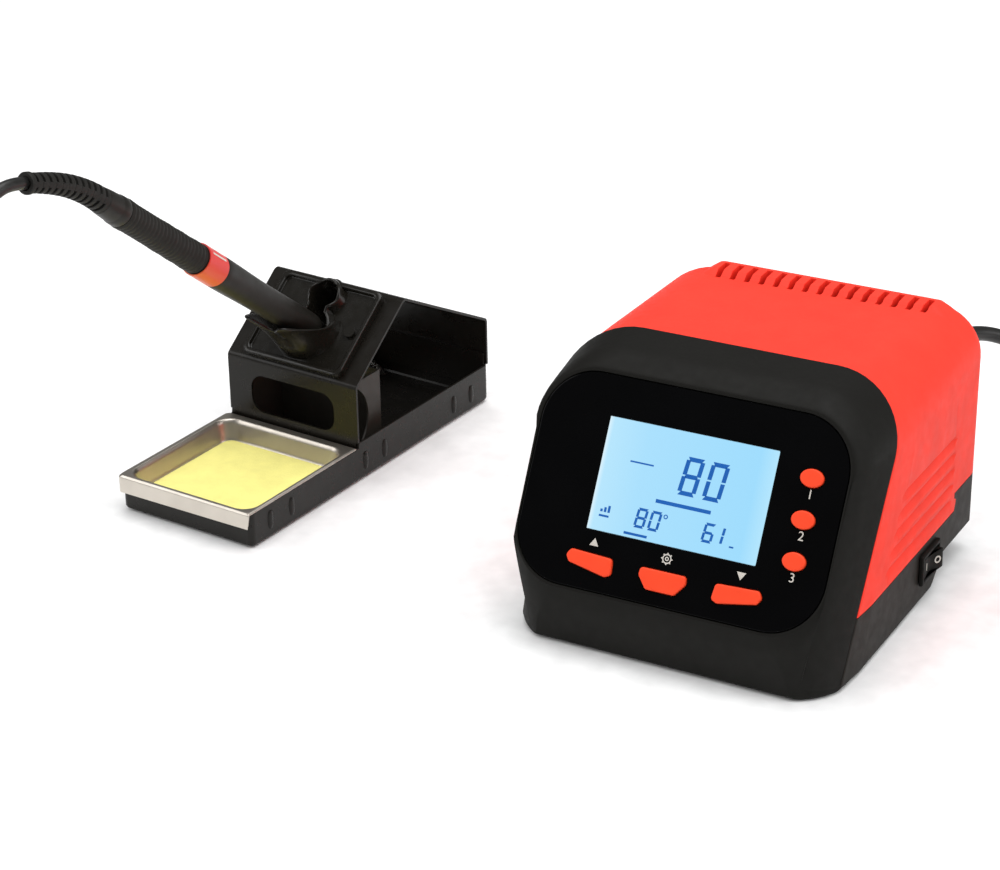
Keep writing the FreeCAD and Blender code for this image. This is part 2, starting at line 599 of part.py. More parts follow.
def inner_shield():
    """Bent guard behind the front window: two webs with a round cut, joined by a lip on the floor."""
    reach = 30.0
    webs = []
    for side in (-1, 1):
        x = side * 30.0
        web = box(x - 0.5, x + 0.5, HOUSE_Y + SHEET + 0.2, HOUSE_Y + reach, PAD + 2 * SHEET + 0.1, 46)
        hole = Part.makeCylinder(19, 6, V(x - 3, HOUSE_Y + 1, 27), AXIS_X)
        webs.append(web.cut(hole))
    lip = box(-30.5, 30.5, HOUSE_Y + 16, HOUSE_Y + reach, PAD + 2 * SHEET + 0.1, PAD + 3 * SHEET)
    back = box(-30.5, 30.5, HOUSE_Y + reach - 1, HOUSE_Y + reach, PAD + 2 * SHEET + 0.1, 24)
    return joined(webs + [lip, back])


def keyhole(r_main, r_top):
    """Plan of the opening: a round seat for the iron and a smaller lobe above it."""
    lower = rod(r_main, -12, 60, 0, IRON_ENTRY_S)
    upper = rod(r_top, -12, 60, 0, IRON_ENTRY_S + 17.0)
    neck = box(-r_top * 0.55, r_top * 0.55, IRON_ENTRY_S, IRON_ENTRY_S + 17.0, -12, 60)
    return lower.fuse([upper, neck])


def iron_holder():
    """Moulded holder on the sloping face: rimmed plate, keyhole wall and the scoop under the handle."""
    plate = slab(outline(29.5, 1.6, 49.6, 4, 4), 0.05, 2.2)
    rim = slab(outline(29.5, 1.6, 49.6, 4, 4), 2.1, 4.2).cut(slab(outline(27, 4.1, 47.1, 2.5, 2.5), 2, 5))
    wall = keyhole(11.2, 9.8).common(slab(outline(28, 2, 49.6, 3, 3), 0.05, 6.2))
    body = placed(joined([plate, rim, wall]), PLATE)
    scoop = placed(turned([(11.2, -4), (15.8, -4), (12.4, 30), (9.6, 30)]), IRON)
    front_half = placed(box(-30, 30, -40, 2.5, -30, 60), PLATE_AT_ENTRY)
    scoop = scoop.common(front_half).cut(placed(box(-60, 60, -60, 100, -40, 0.05), PLATE))
    body = joined([body, scoop])
    seat = placed(turned([(0, -14), (6.9, -14), (6.9, 1.6), (8.2, 1.8), (8.4, 60), (0, 60)]), IRON)
    upper = placed(rod(7.6, -12, 60, 0, IRON_ENTRY_S + 17.0), PLATE)
    neck = placed(box(-4.2, 4.2, IRON_ENTRY_S + 4, IRON_ENTRY_S + 17.0, -12, 60), PLATE)
    screws = [placed(rod(1.7, -12, 20, x, s), PLATE) for x, s in HOLDER_SCREWS]
    return body.cut([seat, upper, neck] + screws)


PLATE_AT_ENTRY = PLATE.multiply(Placement(V(0, IRON_ENTRY_S, 0), Rotation()))
HOLDER_SCREWS = [(22.5, 25.5), (-22.5, 25.5)]


def holder_screws():
    return group([placed(rod(1.5, -7, 2.3, x, s).fuse(rod(2.9, 2.3, 4.0, x, s)), PLATE) for x, s in HOLDER_SCREWS])


def holder_nuts():
    nut = Part.makePolygon([V(3.4 * math.cos(math.radians(60 * k)), 3.4 * math.sin(math.radians(60 * k)), 0)
                            for k in range(7)])
    return group([placed(slab(nut, -4.6, -SHEET - 0.1).cut(rod(1.55, -9, 0)).translated(V(x, s, 0)), PLATE)
                  for x, s in HOLDER_SCREWS])


def stand_feet():
    return group([rod(5.5, 0, PAD, x, y) for x in (-30, 30) for y in (10, 182)])


def level_wire(half, low, high, radius, z):
    wire = outline(half, low, high, radius, radius)
    wire.translate(V(0, 0, z))
    return wire


def sponge_tray():
    """Pressed stainless tray: rim with a turned-down lip in front, rounded corners, sloping walls."""
    sheet = TRAY_SHEET
    rim = slab(outline(TRAY_HALF, TRAY_FRONT, TRAY_REAR, 1.2, 1.2), TRAY_TOP - sheet, TRAY_TOP)
    rim = rim.cut(box(STAND_HALF + 0.2, 60, -20, 100, 0, 60))
    hollow = Part.makeLoft([level_wire(33, 4.0, 72.5, 7, TRAY_FLOOR), level_wire(36, 1.6, 75.5, 8, TRAY_TOP)],
                           True, True)
    bowl = Part.makeLoft([level_wire(33.8, 3.2, 73.3, 7.6, TRAY_FLOOR - sheet),
                          level_wire(36.8, 1.35, 76.3, 8.6, TRAY_TOP)], True, True)
    lip = box(-TRAY_HALF, 38.0, TRAY_FRONT, TRAY_FRONT + sheet, TRAY_LIP, TRAY_TOP)
    side = box(-TRAY_HALF, -TRAY_HALF + sheet, TRAY_FRONT, TRAY_REAR, RIB_TOP + 0.2, TRAY_TOP)
    return joined([rim, bowl, lip, side]).cut(hollow)


def sponge():
    return slab(outline(32.2, 4.8, 71.6, 5, 5), TRAY_FLOOR + 0.1, TRAY_FLOOR + 0.1 + SPONGE_THICK)


# ================================================================ iron
def handle_front():
    """Smooth sleeve from the plate to the coloured band, waisted, with a flared front end."""
    profile = [(3.9, HANDLE_START), (6.6, HANDLE_START), (7.2, 4), (7.5, 14), (7.35, 30), (7.2, 45), (7.4, 60),
               (7.8, 75), (7.9, LABEL_START), (7.3, LABEL_START), (7.3, LABEL_END), (5.6, LABEL_END),
               (5.6, 20), (3.9, 20)]
    return turned(profile)


def label_band():
    return turned([(7.35, LABEL_START + 0.05), (7.95, LABEL_START + 0.05), (7.95, LABEL_END - 0.05),
                   (7.35, LABEL_END - 0.05)])


def grip_sleeve():
    """Soft sleeve with fine rings and two swells."""
    profile = [(5.7, LABEL_END + 0.05)]
    rings = 30
    start, end = LABEL_END + 0.05, GRIP_END
    for k in range(rings):
        w0 = start + (end - start) * k / rings
        w1 = start + (end - start) * (k + 0.6) / rings
        w2 = start + (end - start) * (k + 1) / rings
        along = (k + 0.5) / rings
        r = 7.1 + 0.35 * math.exp(-((along - 0.12) / 0.10) ** 2) + 0.3 * math.exp(-((along - 0.97) / 0.05) ** 2)
        profile += [(r, w0), (r, w1), (r - 0.22, w1), (r - 0.22, w2)]
    profile.append((5.7, GRIP_END))
    return turned(profile)


def core_tube():
    """Inner tube that the sleeves are pushed onto; it carries the heater's wires."""
    return turned([(4.2, 20.5), (5.5, 20.5), (5.5, GRIP_END + 10), (4.2, GRIP_END + 10)])


def rear_collar():
    return turned([(5.6, GRIP_END + 0.05), (7.0, GRIP_END + 0.05), (7.0, GRIP_END + 5), (6.6, GRIP_END + 6),
                   (6.0, COLLAR_END), (3.6, COLLAR_END), (3.6, GRIP_END + 10.1), (5.6, GRIP_END + 10.1)])


BOOT_PATH = [(COLLAR_END, 0), (192, 0.0), (205, -1.7), (217.5, -5.2), (229, -9.6)]


def boot_points():
    """Middle line of the strain relief in the holder's frame: it droops towards the cord."""
    return [IRON.multVec(V(0, rise, w)) for w, rise in BOOT_PATH]


def strain_relief():
    """Ribbed boot, bent by the weight of the cord: a row of short cones along its curved middle line."""
    points = boot_points()
    edges = rounded_edges(points, arc_radii(points))
    spine = Part.Wire(edges)
    length = spine.Length
    count = 12
    solids = []
    for k in range(count):
        a, b = length * k / count, length * (k + 0.6) / count
        c = length * (k + 1) / count
        r0 = 5.9 - 1.6 * k / count
        solids += [cone_between(spine, a, b, r0, r0 - 0.1), cone_between(spine, b - 0.2, c + 0.2, r0 - 1.1, r0 - 1.1)]
    end = cone_between(spine, length - 0.4, length + 2.2, 4.9, 4.6)
    return joined(solids + [end]).cut(cone_between(spine, length - 0.2, length + 3, IRON_D / 2, IRON_D / 2))


def along(wire, distance):
    """Point and direction at a distance along a wire."""
    left = distance
    for edge in wire.OrderedEdges:
        if left <= edge.Length or edge is wire.OrderedEdges[-1]:
            at = edge.getParameterByLength(min(left, edge.Length))
            point, tangent = edge.valueAt(at), edge.tangentAt(at)
            if left > edge.Length:
                point = point + tangent * (left - edge.Length)
            return point, tangent
        left -= edge.Length
    edge = wire.OrderedEdges[-1]
    return edge.valueAt(edge.LastParameter) + edge.tangentAt(edge.LastParameter) * left, \
        edge.tangentAt(edge.LastParameter)


def cone_between(wire, a, b, ra, rb):
    start, _ = along(wire, a)
    stop, _ = along(wire, b)
    direction = stop - start
    if abs(ra - rb) < 1e-6:
        return Part.makeCylinder(ra, direction.Length, start, direction)
    return Part.makeCone(ra, rb, direction.Length, start, direction)


def heater_barrel():
    return turned([(BARREL_RADIUS - 0.5, -58), (BARREL_RADIUS, -58), (BARREL_RADIUS, 16), (BARREL_RADIUS - 0.5, 16)])


def heater_element():
    return rod(2.3, -52, 19)


def barrel_nut():
    return turned([(BARREL_RADIUS + 0.05, -15), (4.6, -15), (NUT_RADIUS, -12), (NUT_RADIUS, 1.4), (3.85, 1.4),
                   (3.85, 12), (BARREL_RADIUS + 0.05, 12)])


def solder_tip():
    return turned([(0, TIP_END), (0.5, TIP_END), (2.6, -63), (2.6, -53), (0, -53)])


# ================================================================ cords
MAINS_ROUTE = [(52, 184.1, 81), (52.6, 195.5, 80.9), (55.6, 207, 79.8), (62.4, 217.6, 76.6), (72.4, 225.6, 70.6),
               (84.6, 230, 61.2), (97, 231.4, 49), (109, 230, 35.5), (121.5, 226.4, 22.5), (135, 220.5, 12.4),
               (148, 213, 6), (159.5, 205.6, 3.6), (170.5, 201.3, 3.5), (182, 200.2, 3.5)]
MAINS_RING = (208.0, 156.7, 47.0, 21.0, 14.0)          # x, y, outer radius, width, height in the unit's frame
IRON_ROUTE = [(0, -9.5, 2.6), (0, -19.8, 1.2), (0, -29.8, -4.2), (-0.4, -38, -13.5), (-0.9, -43.6, -26.5),
              (-1.4, -46.8, -44), (-1.9, -48.4, -67), (-2.4, -49.4, -95), (-3, -50.2, -122), (-4.2, -50.8, -146),
              (-7.4, -51.2, -164.5), (-14, -51.4, -180), (-24, -51.6, -191), (-36.5, -51.8, -197.2),
              (-50.5, -51.9, -198.6), (-63.5, -51.9, -198.6)]
IRON_RING = (36.6, 16.8, 11.2)                          # outer radius, width, height


def arc_radii(points):
    radii = []
    for before, corner, after in zip(points, points[1:], points[2:]):
        into, out = corner - before, after - corner
        half = into.getAngle(out) / 2
        radii.append(0.45 * min(into.Length, out.Length) / math.tan(half))
    return radii


def cord_tube(name, points, diameter):
    """Round section swept along straight runs joined by tangent arcs."""
    radii = arc_radii(points)
    path = Part.Wire(rounded_edges(points, radii))
    ring = Part.Wire([Part.Circle(points[0], points[1] - points[0], diameter / 2).toShape()])
    solid = path.makePipeShell([ring], True, True)
    tube = Part.Solid(solid) if solid.ShapeType != "Solid" else solid
    ideal = math.pi * (diameter / 2) ** 2 * path.Length
    print(f"{name}: length {path.Length:.1f}, volume / ideal {tube.Volume / ideal:.4f}, radii",
          [round(r / diameter, 1) for r in radii])
    return tube


def coil(x, y, outer, width, height, stub_from, diameter):
    """Outer shape of a neatly wound coil, with the short straight end where the cord joins it."""
    ring = rod(outer, 0.05, height).cut(rod(outer - width, -1, height + 1)).translated(V(x, y, 0))
    start, stop = stub_from
    stub = Part.makeCylinder(diameter / 2 - 0.02, (stop - start).Length, start, stop - start)
    return ring.fuse(stub)


def mains_pieces():
    points = [V(*p) for p in MAINS_ROUTE]
    x, y, outer, width, height = MAINS_RING
    middle = MAINS_D / 2
    winding = coil(x, y, outer, width, height, (points[-1], V(x, points[-1].y, middle)), MAINS_D)
    leave_from = V(x, y - outer + middle, middle)
    leave = Part.makeCylinder(middle - 0.02, MAINS_LEAVE, leave_from, V(-1, 0, 0))
    plug_at = Placement(leave_from + V(-MAINS_LEAVE - 0.05, 0, 0), Rotation(AXIS_Y, -90))
    return {"mains_cord": cord_tube("mains_cord", points, MAINS_D), "mains_cord_coil": winding.fuse(leave),
            "mains_plug": placed(mains_plug(), plug_at), "plug_pins": placed(plug_pins(), plug_at)}


PLUG_SECTIONS = [(3.4, 3.4, 0), (4.0, 4.2, 10), (4.8, 5.4, 18), (5.4, 9.5, 24), (6.6, 17.4, 33), (6.6, 17.4, 41)]
PLUG_LIFT = 6.7 - MAINS_D / 2        # the body is thicker than the cord and rests on the bench too


def mains_plug():
    """Flat two-pin plug, 35 wide, with its tapered sleeve; local w runs from the cord to the pins."""
    wires = []
    for half_thick, half_wide, w in PLUG_SECTIONS:
        radius = 0.7 * min(half_thick, half_wide)
        wire = outline(half_thick, -half_wide, half_wide, radius, radius)
        wire.translate(V(max(0.0, half_thick + 0.1 - MAINS_D / 2), 0, w))
        wires.append(wire)
    return Part.makeLoft(wires, True, True)


def plug_pins():
    return group([rod(2.0, 41.0, 60.0, PLUG_LIFT, side * 9.4) for side in (-1, 1)])


def cord_tie(x, y, outer, width, height):
    """Band over the turns of a coil; the turns curve away from it, so it is a little wide."""
    inside, outside, room = x + outer - width - 0.4, x + outer + 0.1, 1.1
    band = box(inside - room, outside + room, y - 3, y + 3, 0.06, height + 0.1 + room)
    return band.cut(box(inside, outside, y - 4, y + 4, -1, height + 0.1))


def boot_end():
    points = boot_points()
    wire = Part.Wire(rounded_edges(points, arc_radii(points)))
    return along(wire, wire.Length + 2.2)


def iron_cord_points():
    """The route is measured from the end of the strain relief, in the holder's frame."""
    end, _ = boot_end()
    points = [end] + [end + V(*p) for p in IRON_ROUTE]
    middle = IRON_D / 2
    points[-2:] = [V(p.x, p.y, middle) for p in points[-2:]]
    return points


def iron_ring_centre():
    last = iron_cord_points()[-1]
    return last.x - 20.0, last.y + IRON_RING[0] - IRON_D / 2


def iron_cord_pieces():
    points = iron_cord_points()
    middle = IRON_D / 2
    outer, width, height = IRON_RING
    x, y = iron_ring_centre()
    stub_from = points[-1] + V(-0.4, 0, 0)
    winding = coil(x, y, outer, width, height, (stub_from, V(x, stub_from.y, middle)), IRON_D)
    leave_from = V(x - outer + middle, y, height - middle)
    leave = Part.makeCylinder(middle - 0.02, IRON_LEAVE, leave_from, AXIS_Y)
    plug_at = Placement(leave_from + V(0, IRON_LEAVE + 0.05, 0), Rotation(AXIS_X, -90))
    return {"iron_cord": cord_tube("iron_cord", points, IRON_D), "iron_cord_coil": winding.fuse(leave),
            "iron_connector": placed(iron_connector(), plug_at), "connector_ring": placed(connector_ring(), plug_at)}


def cord_ties():
    """One band round each coil, in the station's own frame."""
    return group([placed(cord_tie(*MAINS_RING), UNIT), placed(cord_tie(*iron_ring_centre(), *IRON_RING), STAND)])


def iron_connector():
    barrel = turned([(0, 0), (3.6, 0), (4.4, 12), (6.6, 13), (6.6, 30), (5.6, 30), (5.6, 39), (0, 39)])
    return barrel.cut(turned([(2.0, 31), (4.6, 31), (4.6, 41), (2.0, 41)]))


def connector_ring():
    return turned([(6.7, 22), (8.0, 22), (8.3, 23), (8.3, 36), (7.8, 37), (6.7, 37)])


# ================================================================ the whole station
def unit_nodes():
    wall = shell()
    buttons = panel_buttons()
    nodes = {"front_bezel": front_bezel(buttons), "upper_shell": upper_shell(wall), "lower_shell": lower_shell(wall),
             "shell_screws": shell_screws(), "rear_panel": rear_panel(), "unit_feet": unit_feet(),
             "power_board": power_board(), "board_pillars": board_pillars(), "board_parts": board_parts(),
             "transformer_core": transformer_core(), "transformer_winding": transformer_winding(),
             "transformer_bracket": transformer_bracket(), "switch_housing": switch_housing(),
             "power_rocker": power_rocker(), "mains_gland": mains_gland(), "iron_socket": iron_socket(),
             "socket_nut": socket_nut(), "fuse_holder": fuse_holder(), "fuse": fuse()}
    leaning = {"display_panel": display_panel(buttons), "lcd_window": lcd_window(), "lcd_glass": lcd_glass(),
               "lcd_backlight": lcd_backlight(), "front_board": front_board(), "board_screws": board_screws(),
               "tact_switches": tact_switches(buttons)}
    leaning.update({name: button(shape, centre) for name, (shape, centre) in buttons.items()})
    nodes.update({name: placed(shape, PANEL) for name, shape in leaning.items()})
    return nodes


def stand_nodes():
    nodes = {"stand_base": stand_base(), "stand_housing": stand_housing(), "inner_shield": inner_shield(),
             "iron_holder": iron_holder(), "holder_screws": holder_screws(), "holder_nuts": holder_nuts(),
             "stand_feet": stand_feet(), "sponge_tray": sponge_tray(), "sponge": sponge(),
             "strain_relief": strain_relief()}
    on_axis = {"handle_front": handle_front(), "label_band": label_band(), "grip_sleeve": grip_sleeve(),
               "core_tube": core_tube(), "rear_collar": rear_collar(), "heater_barrel": heater_barrel(),
               "heater_element": heater_element(), "barrel_nut": barrel_nut(), "solder_tip": solder_tip()}
    nodes.update({name: placed(shape, IRON) for name, shape in on_axis.items()})
    return nodes


def main():
    os.makedirs("parts", exist_ok=True)
    nodes = {}
    for place, pieces in ((UNIT, unit_nodes()), (STAND, stand_nodes()), (UNIT, mains_pieces()),
                          (STAND, iron_cord_pieces()), (Placement(), {"cord_ties": cord_ties()})):
        nodes.update({name: placed(shape, place) for name, shape in pieces.items()})
    for name, shape in nodes.items():
        if not shape.isValid() or shape.Volume <= 0:
            print("NOT SOUND", name, shape.isValid(), shape.Volume)
        shape.exportStep(f"parts/{name}.step")
    cords = ("mains_cord", "mains_cord_coil", "mains_plug", "plug_pins", "iron_cord", "iron_cord_coil",
             "iron_connector", "connector_ring", "cord_ties")
    box_all = Part.makeCompound([s for n, s in nodes.items() if n not in cords]).BoundBox
    print(len(nodes), "nodes; without cords", box_all)
    print("iron axis", STAND.Rotation.multVec(IRON.Rotation.multVec(AXIS_Z)))
    print("panel normal", PANEL.Rotation.multVec(AXIS_Z), "rocker pivot", UNIT.multVec(ROCKER_PIVOT))


main()
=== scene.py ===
"""Looks of the soldering iron station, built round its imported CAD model.

Shapes are written in millimetres in the local frame of the thing they belong to and turned into metres in the
station's frame as they are made.
"""

import math

import bmesh
import bpy
from mathutils import Matrix, Vector


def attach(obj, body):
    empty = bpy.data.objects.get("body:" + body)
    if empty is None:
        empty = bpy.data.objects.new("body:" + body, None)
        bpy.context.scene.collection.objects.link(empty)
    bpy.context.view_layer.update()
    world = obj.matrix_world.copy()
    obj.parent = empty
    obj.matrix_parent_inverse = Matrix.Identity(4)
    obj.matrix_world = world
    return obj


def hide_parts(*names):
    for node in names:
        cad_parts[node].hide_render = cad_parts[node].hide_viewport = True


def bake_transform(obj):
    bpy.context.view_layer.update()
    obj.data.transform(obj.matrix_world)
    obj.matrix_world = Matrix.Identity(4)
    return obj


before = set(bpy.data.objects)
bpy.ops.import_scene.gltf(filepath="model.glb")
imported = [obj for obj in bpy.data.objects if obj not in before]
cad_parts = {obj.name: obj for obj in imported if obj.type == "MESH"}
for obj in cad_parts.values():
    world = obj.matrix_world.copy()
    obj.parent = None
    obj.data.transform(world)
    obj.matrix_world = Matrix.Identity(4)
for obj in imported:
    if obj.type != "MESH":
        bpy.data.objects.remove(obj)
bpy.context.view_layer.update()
scene = bpy.context.scene
MM = 0.001

# ---------------------------------------------------------------- sizes shared with the CAD part
TILT, SLOPE, IRON_DROP = 29.0, 37.58, 38.6
UNIT_HALF, SEAM_TOP, ROOF, HUMP_TOP = 80.0, 135.8, 117.0, 119.4
UNIT_REAR, REAR_EDGE = 154.0, 4.5
FACE, FOLD_DEPTH, PANEL_THICK = 27.0, 21.0, 2.5      # the front face and the fold stand this far from the seam
SPLIT, SPLIT_REAR, SPLIT_Y = 28.8, 38.0, 127.0       # the two shells meet here, higher behind SPLIT_Y
VENTS, VENT_MIDDLE, VENT_PITCH = 15, 8.0, 7.05
STAND_HALF, STAND_LENGTH, PAD, SHEET = 38.75, 192.5, 1.0, 1.2
SWITCH_Y, SWITCH_Z = 96.5, 18.2
HOUSE_Y, HOUSE_Z = 82.5, 49.9
IRON_ENTRY_S = 23.0
MAINS_D, IRON_D = 7.0, 5.6


def turn(axis, degrees):
    return Matrix.Rotation(math.radians(degrees), 4, axis)


def move(x, y, z):
    return Matrix.Translation((x, y, z))


def linked(name, data):
    obj = bpy.data.objects.new(name, data)
    scene.collection.objects.link(obj)
    return obj


SIDEWAYS = turn("Z", 90) @ turn("X", 90)             # z points along +x, x along +y and y up
UNIT = move(103.75, -60.46, 0)
STAND = move(-147.65, -54.06, 0) @ turn("Z", -5.9)
PANEL = UNIT @ turn("X", 90 - TILT)                  # x, v up the lean, w out of the front
PLATE = STAND @ move(0, HOUSE_Y, HOUSE_Z) @ turn("X", SLOPE)      # x, s up the slope, h out of it
ENTRY = move(0, HOUSE_Y, HOUSE_Z) @ turn("X", SLOPE) @ Vector((0, IRON_ENTRY_S, 0))
IRON = STAND @ Matrix.Translation(ENTRY) @ turn("X", 90 - IRON_DROP)   # w runs up the iron


# ================================================================ camera and light
def add_camera():
    data = bpy.data.cameras.new("camera")
    data.sensor_width, data.lens = 36.0, 107.95
    data.clip_start, data.clip_end = 0.05, 50.0
    camera = linked("camera", data)
    eye = UNIT @ Vector((473.46, -1014.78, 640.0)) * MM
    camera.matrix_world = Matrix.Translation(eye) @ turn("Z", 28.65) @ turn("X", 64.46) @ turn("Z", -1.066)
    scene.camera = camera


def add_light(name, at, target, size, watts, colour=(1.0, 1.0, 1.0)):
    data = bpy.data.lights.new(name, "AREA")
    data.shape, data.size, data.size_y = "RECTANGLE", size[0], size[1]
    data.energy, data.color = watts, colour
    light = linked(name, data)
    light.location = at
    light.rotation_mode = "QUATERNION"
    light.rotation_quaternion = (Vector(target) - Vector(at)).to_track_quat("-Z", "Y")


def add_world():
    """White room for diffuse light; what the glossy surfaces mirror is darker, as in a tent with a dark front."""
    world = bpy.data.worlds.new("studio")
    world.use_nodes = True
    nodes, links = world.node_tree.nodes, world.node_tree.links
    background = nodes["Background"]
    rays = nodes.new("ShaderNodeLightPath")
    level = nodes.new("ShaderNodeMix")
    level.data_type = "FLOAT"
    links.new(rays.outputs["Is Glossy Ray"], level.inputs["Factor"])
    level.inputs["A"].default_value, level.inputs["B"].default_value = 0.72, 0.16
    links.new(level.outputs["Result"], background.inputs["Strength"])
    background.inputs["Color"].default_value = (1.0, 1.0, 1.0, 1.0)
    scene.world = world


add_camera()
add_world()
scene.view_settings.view_transform = "Standard"
scene.view_settings.look = "None"
add_light("top_soft", (0.1, 0.15, 1.5), (0.0, 0.0, 0.0), (1.6, 1.2), 18)
add_light("left_soft", (-1.3, -0.7, 0.9), (0.0, 0.0, 0.05), (0.9, 0.9), 6)
add_light("right_soft", (1.3, 0.3, 0.8), (0.1, 0.0, 0.05), (0.8, 1.0), 5.5)


# ================================================================ materials
class Shader:
    """A Principled material with helpers that hang noise on its colour, roughness and bump."""

    def __init__(self, name, colour, rough, metallic=0.0, specular=0.5):
        self.material = bpy.data.materials.new(name)
        self.material.use_nodes = True
        self.tree = self.material.node_tree
        self.bsdf = self.tree.nodes["Principled BSDF"]
        self.bsdf.inputs["Base Color"].default_value = (*colour, 1.0)
        self.bsdf.inputs["Roughness"].default_value = rough
        self.bsdf.inputs["Metallic"].default_value = metallic
        self.bsdf.inputs["Specular IOR Level"].default_value = specular
        self.colour, self.rough = colour, rough
        self.link = self.tree.links.new
        self.coords = self.node("TexCoord")
        self.normal = None

    def node(self, kind):
        return self.tree.nodes.new("ShaderNode" + kind)

    def noise(self, size_mm, detail=3.0, stretch=(1.0, 1.0, 1.0)):
        """Noise whose features are about size_mm wide, read in the station's own frame."""
        mapping = self.node("Mapping")
        mapping.inputs["Scale"].default_value = stretch
        texture = self.node("TexNoise")
        texture.inputs["Scale"].default_value = 1.0 / (size_mm * MM)
        texture.inputs["Detail"].default_value = detail
        self.link(self.coords.outputs["Object"], mapping.inputs["Vector"])
        self.link(mapping.outputs["Vector"], texture.inputs["Vector"])
        return texture.outputs["Fac"]

    def vary_colour(self, size_mm, dark, light, stretch=(1.0, 1.0, 1.0)):
        """Colour drifts between colour * dark and colour * light."""
        ramp = self.node("ValToRGB")
        ramp.color_ramp.elements[0].position, ramp.color_ramp.elements[1].position = 0.3, 0.7
        for element, k in zip(ramp.color_ramp.elements, (dark, light)):
            element.color = (*[min(1.0, c * k) for c in self.colour], 1.0)
        self.link(self.noise(size_mm, stretch=stretch), ramp.inputs["Fac"])
        self.link(ramp.outputs["Color"], self.bsdf.inputs["Base Color"])
        return self

    def vary_rough(self, size_mm, spread, stretch=(1.0, 1.0, 1.0)):
        span = self.node("MapRange")
        span.inputs["From Min"].default_value, span.inputs["From Max"].default_value = 0.3, 0.7
        span.inputs["To Min"].default_value = max(0.02, self.rough - spread)
        span.inputs["To Max"].default_value = min(1.0, self.rough + spread)
        self.link(self.noise(size_mm, stretch=stretch), span.inputs["Value"])
        self.link(span.outputs["Result"], self.bsdf.inputs["Roughness"])
        return self

    def bump(self, size_mm, height_mm, strength=0.5, stretch=(1.0, 1.0, 1.0), detail=3.0):
        node = self.node("Bump")
        node.inputs["Strength"].default_value = strength
        node.inputs["Distance"].default_value = height_mm * MM
        self.link(self.noise(size_mm, detail, stretch), node.inputs["Height"])
        if self.normal:
            self.link(self.normal, node.inputs["Normal"])
        self.normal = node.outputs["Normal"]
        self.link(self.normal, self.bsdf.inputs["Normal"])
        return self

    def graded(self, direction, start, end, stops, socket):
        """Drives the socket by a colour ramp that runs from start to end along a direction, in millimetres."""
        along = self.node("VectorMath")
        along.operation = "DOT_PRODUCT"
        along.inputs[1].default_value = direction / MM
        span = self.node("MapRange")
        span.inputs["From Min"].default_value, span.inputs["From Max"].default_value = start, end
        ramp = self.node("ValToRGB")
        elements = ramp.color_ramp.elements
        ends = [(elements[0], stops[0]), (elements[1], stops[-1])]
        for element, (position, colour) in ends:
            element.position, element.color = position, (*colour, 1)
        for position, colour in stops[1:-1]:
            elements.new(position).color = (*colour, 1)
        self.link(self.coords.outputs["Object"], along.inputs[0])
        self.link(along.outputs["Value"], span.inputs["Value"])
        self.link(span.outputs["Result"], ramp.inputs["Fac"])
        self.link(ramp.outputs["Color"], self.bsdf.inputs[socket])
        return self


def grained(name, colour, rough, grain=0.05, specular=0.5, size=0.5):
    """Moulded plastic with a fine spark-eroded grain."""
    return (Shader(name, colour, rough, specular=specular).vary_colour(14.0, 0.94, 1.06)
            .vary_rough(5.0, 0.05).bump(size, grain, 0.35)).material


RED = grained("red_moulding", (0.84, 0.040, 0.022), 0.55, 0.03, 0.16)
BLACK = grained("black_moulding", (0.0074, 0.0070, 0.0058), 0.58, 0.04, 0.14)
UNDER_BLACK = grained("black_casing", (0.0150, 0.0125, 0.0100), 0.55, 0.04, 0.16)
GLOSS = (Shader("gloss_black", (0.0012, 0.0012, 0.0014), 0.06, specular=0.12).vary_colour(30.0, 0.8, 1.2)
         .vary_rough(20.0, 0.015)).material
KEY = grained("orange_key", (0.88, 0.060, 0.016), 0.48, 0.02, 0.22)
LCD_INK = grained("lcd_segment", (0.012, 0.105, 0.40), 0.5, 0.005, 0.1)
INK = grained("pale_ink", (0.55, 0.52, 0.47), 0.6, 0.01)
RUBBER = grained("soft_rubber", (0.011, 0.0102, 0.0085), 0.60, 0.03, 0.3)
HANDLE = grained("handle_moulding", (0.0105, 0.0092, 0.0068), 0.45, 0.02, 0.35)
GRIP = grained("grip_rubber", (0.0110, 0.0098, 0.0076), 0.62, 0.05, 0.28)
CORD = grained("cord_sheath", (0.012, 0.0118, 0.011), 0.38, 0.02, 0.45, 1.2)
PAINT = (Shader("black_paint", (0.0085, 0.0072, 0.0055), 0.30, specular=0.24).vary_colour(25.0, 0.9, 1.1)
         .vary_rough(6.0, 0.06).bump(0.8, 0.02, 0.4)).material
GUARD = grained("dark_plated_guard", (0.030, 0.026, 0.021), 0.45, 0.02, 0.3)
HOLDER = grained("holder_moulding", (0.0080, 0.0070, 0.0052), 0.24, 0.015, 0.36)
STEEL = (Shader("pressed_stainless", (0.66, 0.61, 0.54), 0.36, 1.0).vary_colour(14.0, 0.95, 1.04)
         .vary_rough(9.0, 0.04, (1.0, 4.0, 1.0)).bump(8.0, 0.03, 0.15)).material
BRIGHT = (Shader("plated_steel", (0.62, 0.61, 0.58), 0.22, 1.0).vary_rough(3.0, 0.08)
          .vary_colour(6.0, 0.9, 1.05)).material
DULL = (Shader("zinc_steel", (0.42, 0.42, 0.41), 0.42, 1.0).vary_colour(4.0, 0.85, 1.1)
        .vary_rough(2.0, 0.1)).material
CORE = (Shader("laminations", (0.10, 0.09, 0.08), 0.45, 0.6).vary_colour(0.7, 0.7, 1.2, (0.05, 1.0, 0.05))
        .bump(0.7, 0.1, 0.6, (0.05, 1.0, 0.05))).material
TAPE = grained("winding_tape", (0.62, 0.44, 0.08), 0.4, 0.03)
BOARD = grained("circuit_board", (0.02, 0.12, 0.045), 0.35, 0.02)
WHITE = grained("white_moulding", (0.72, 0.72, 0.69), 0.45, 0.02)
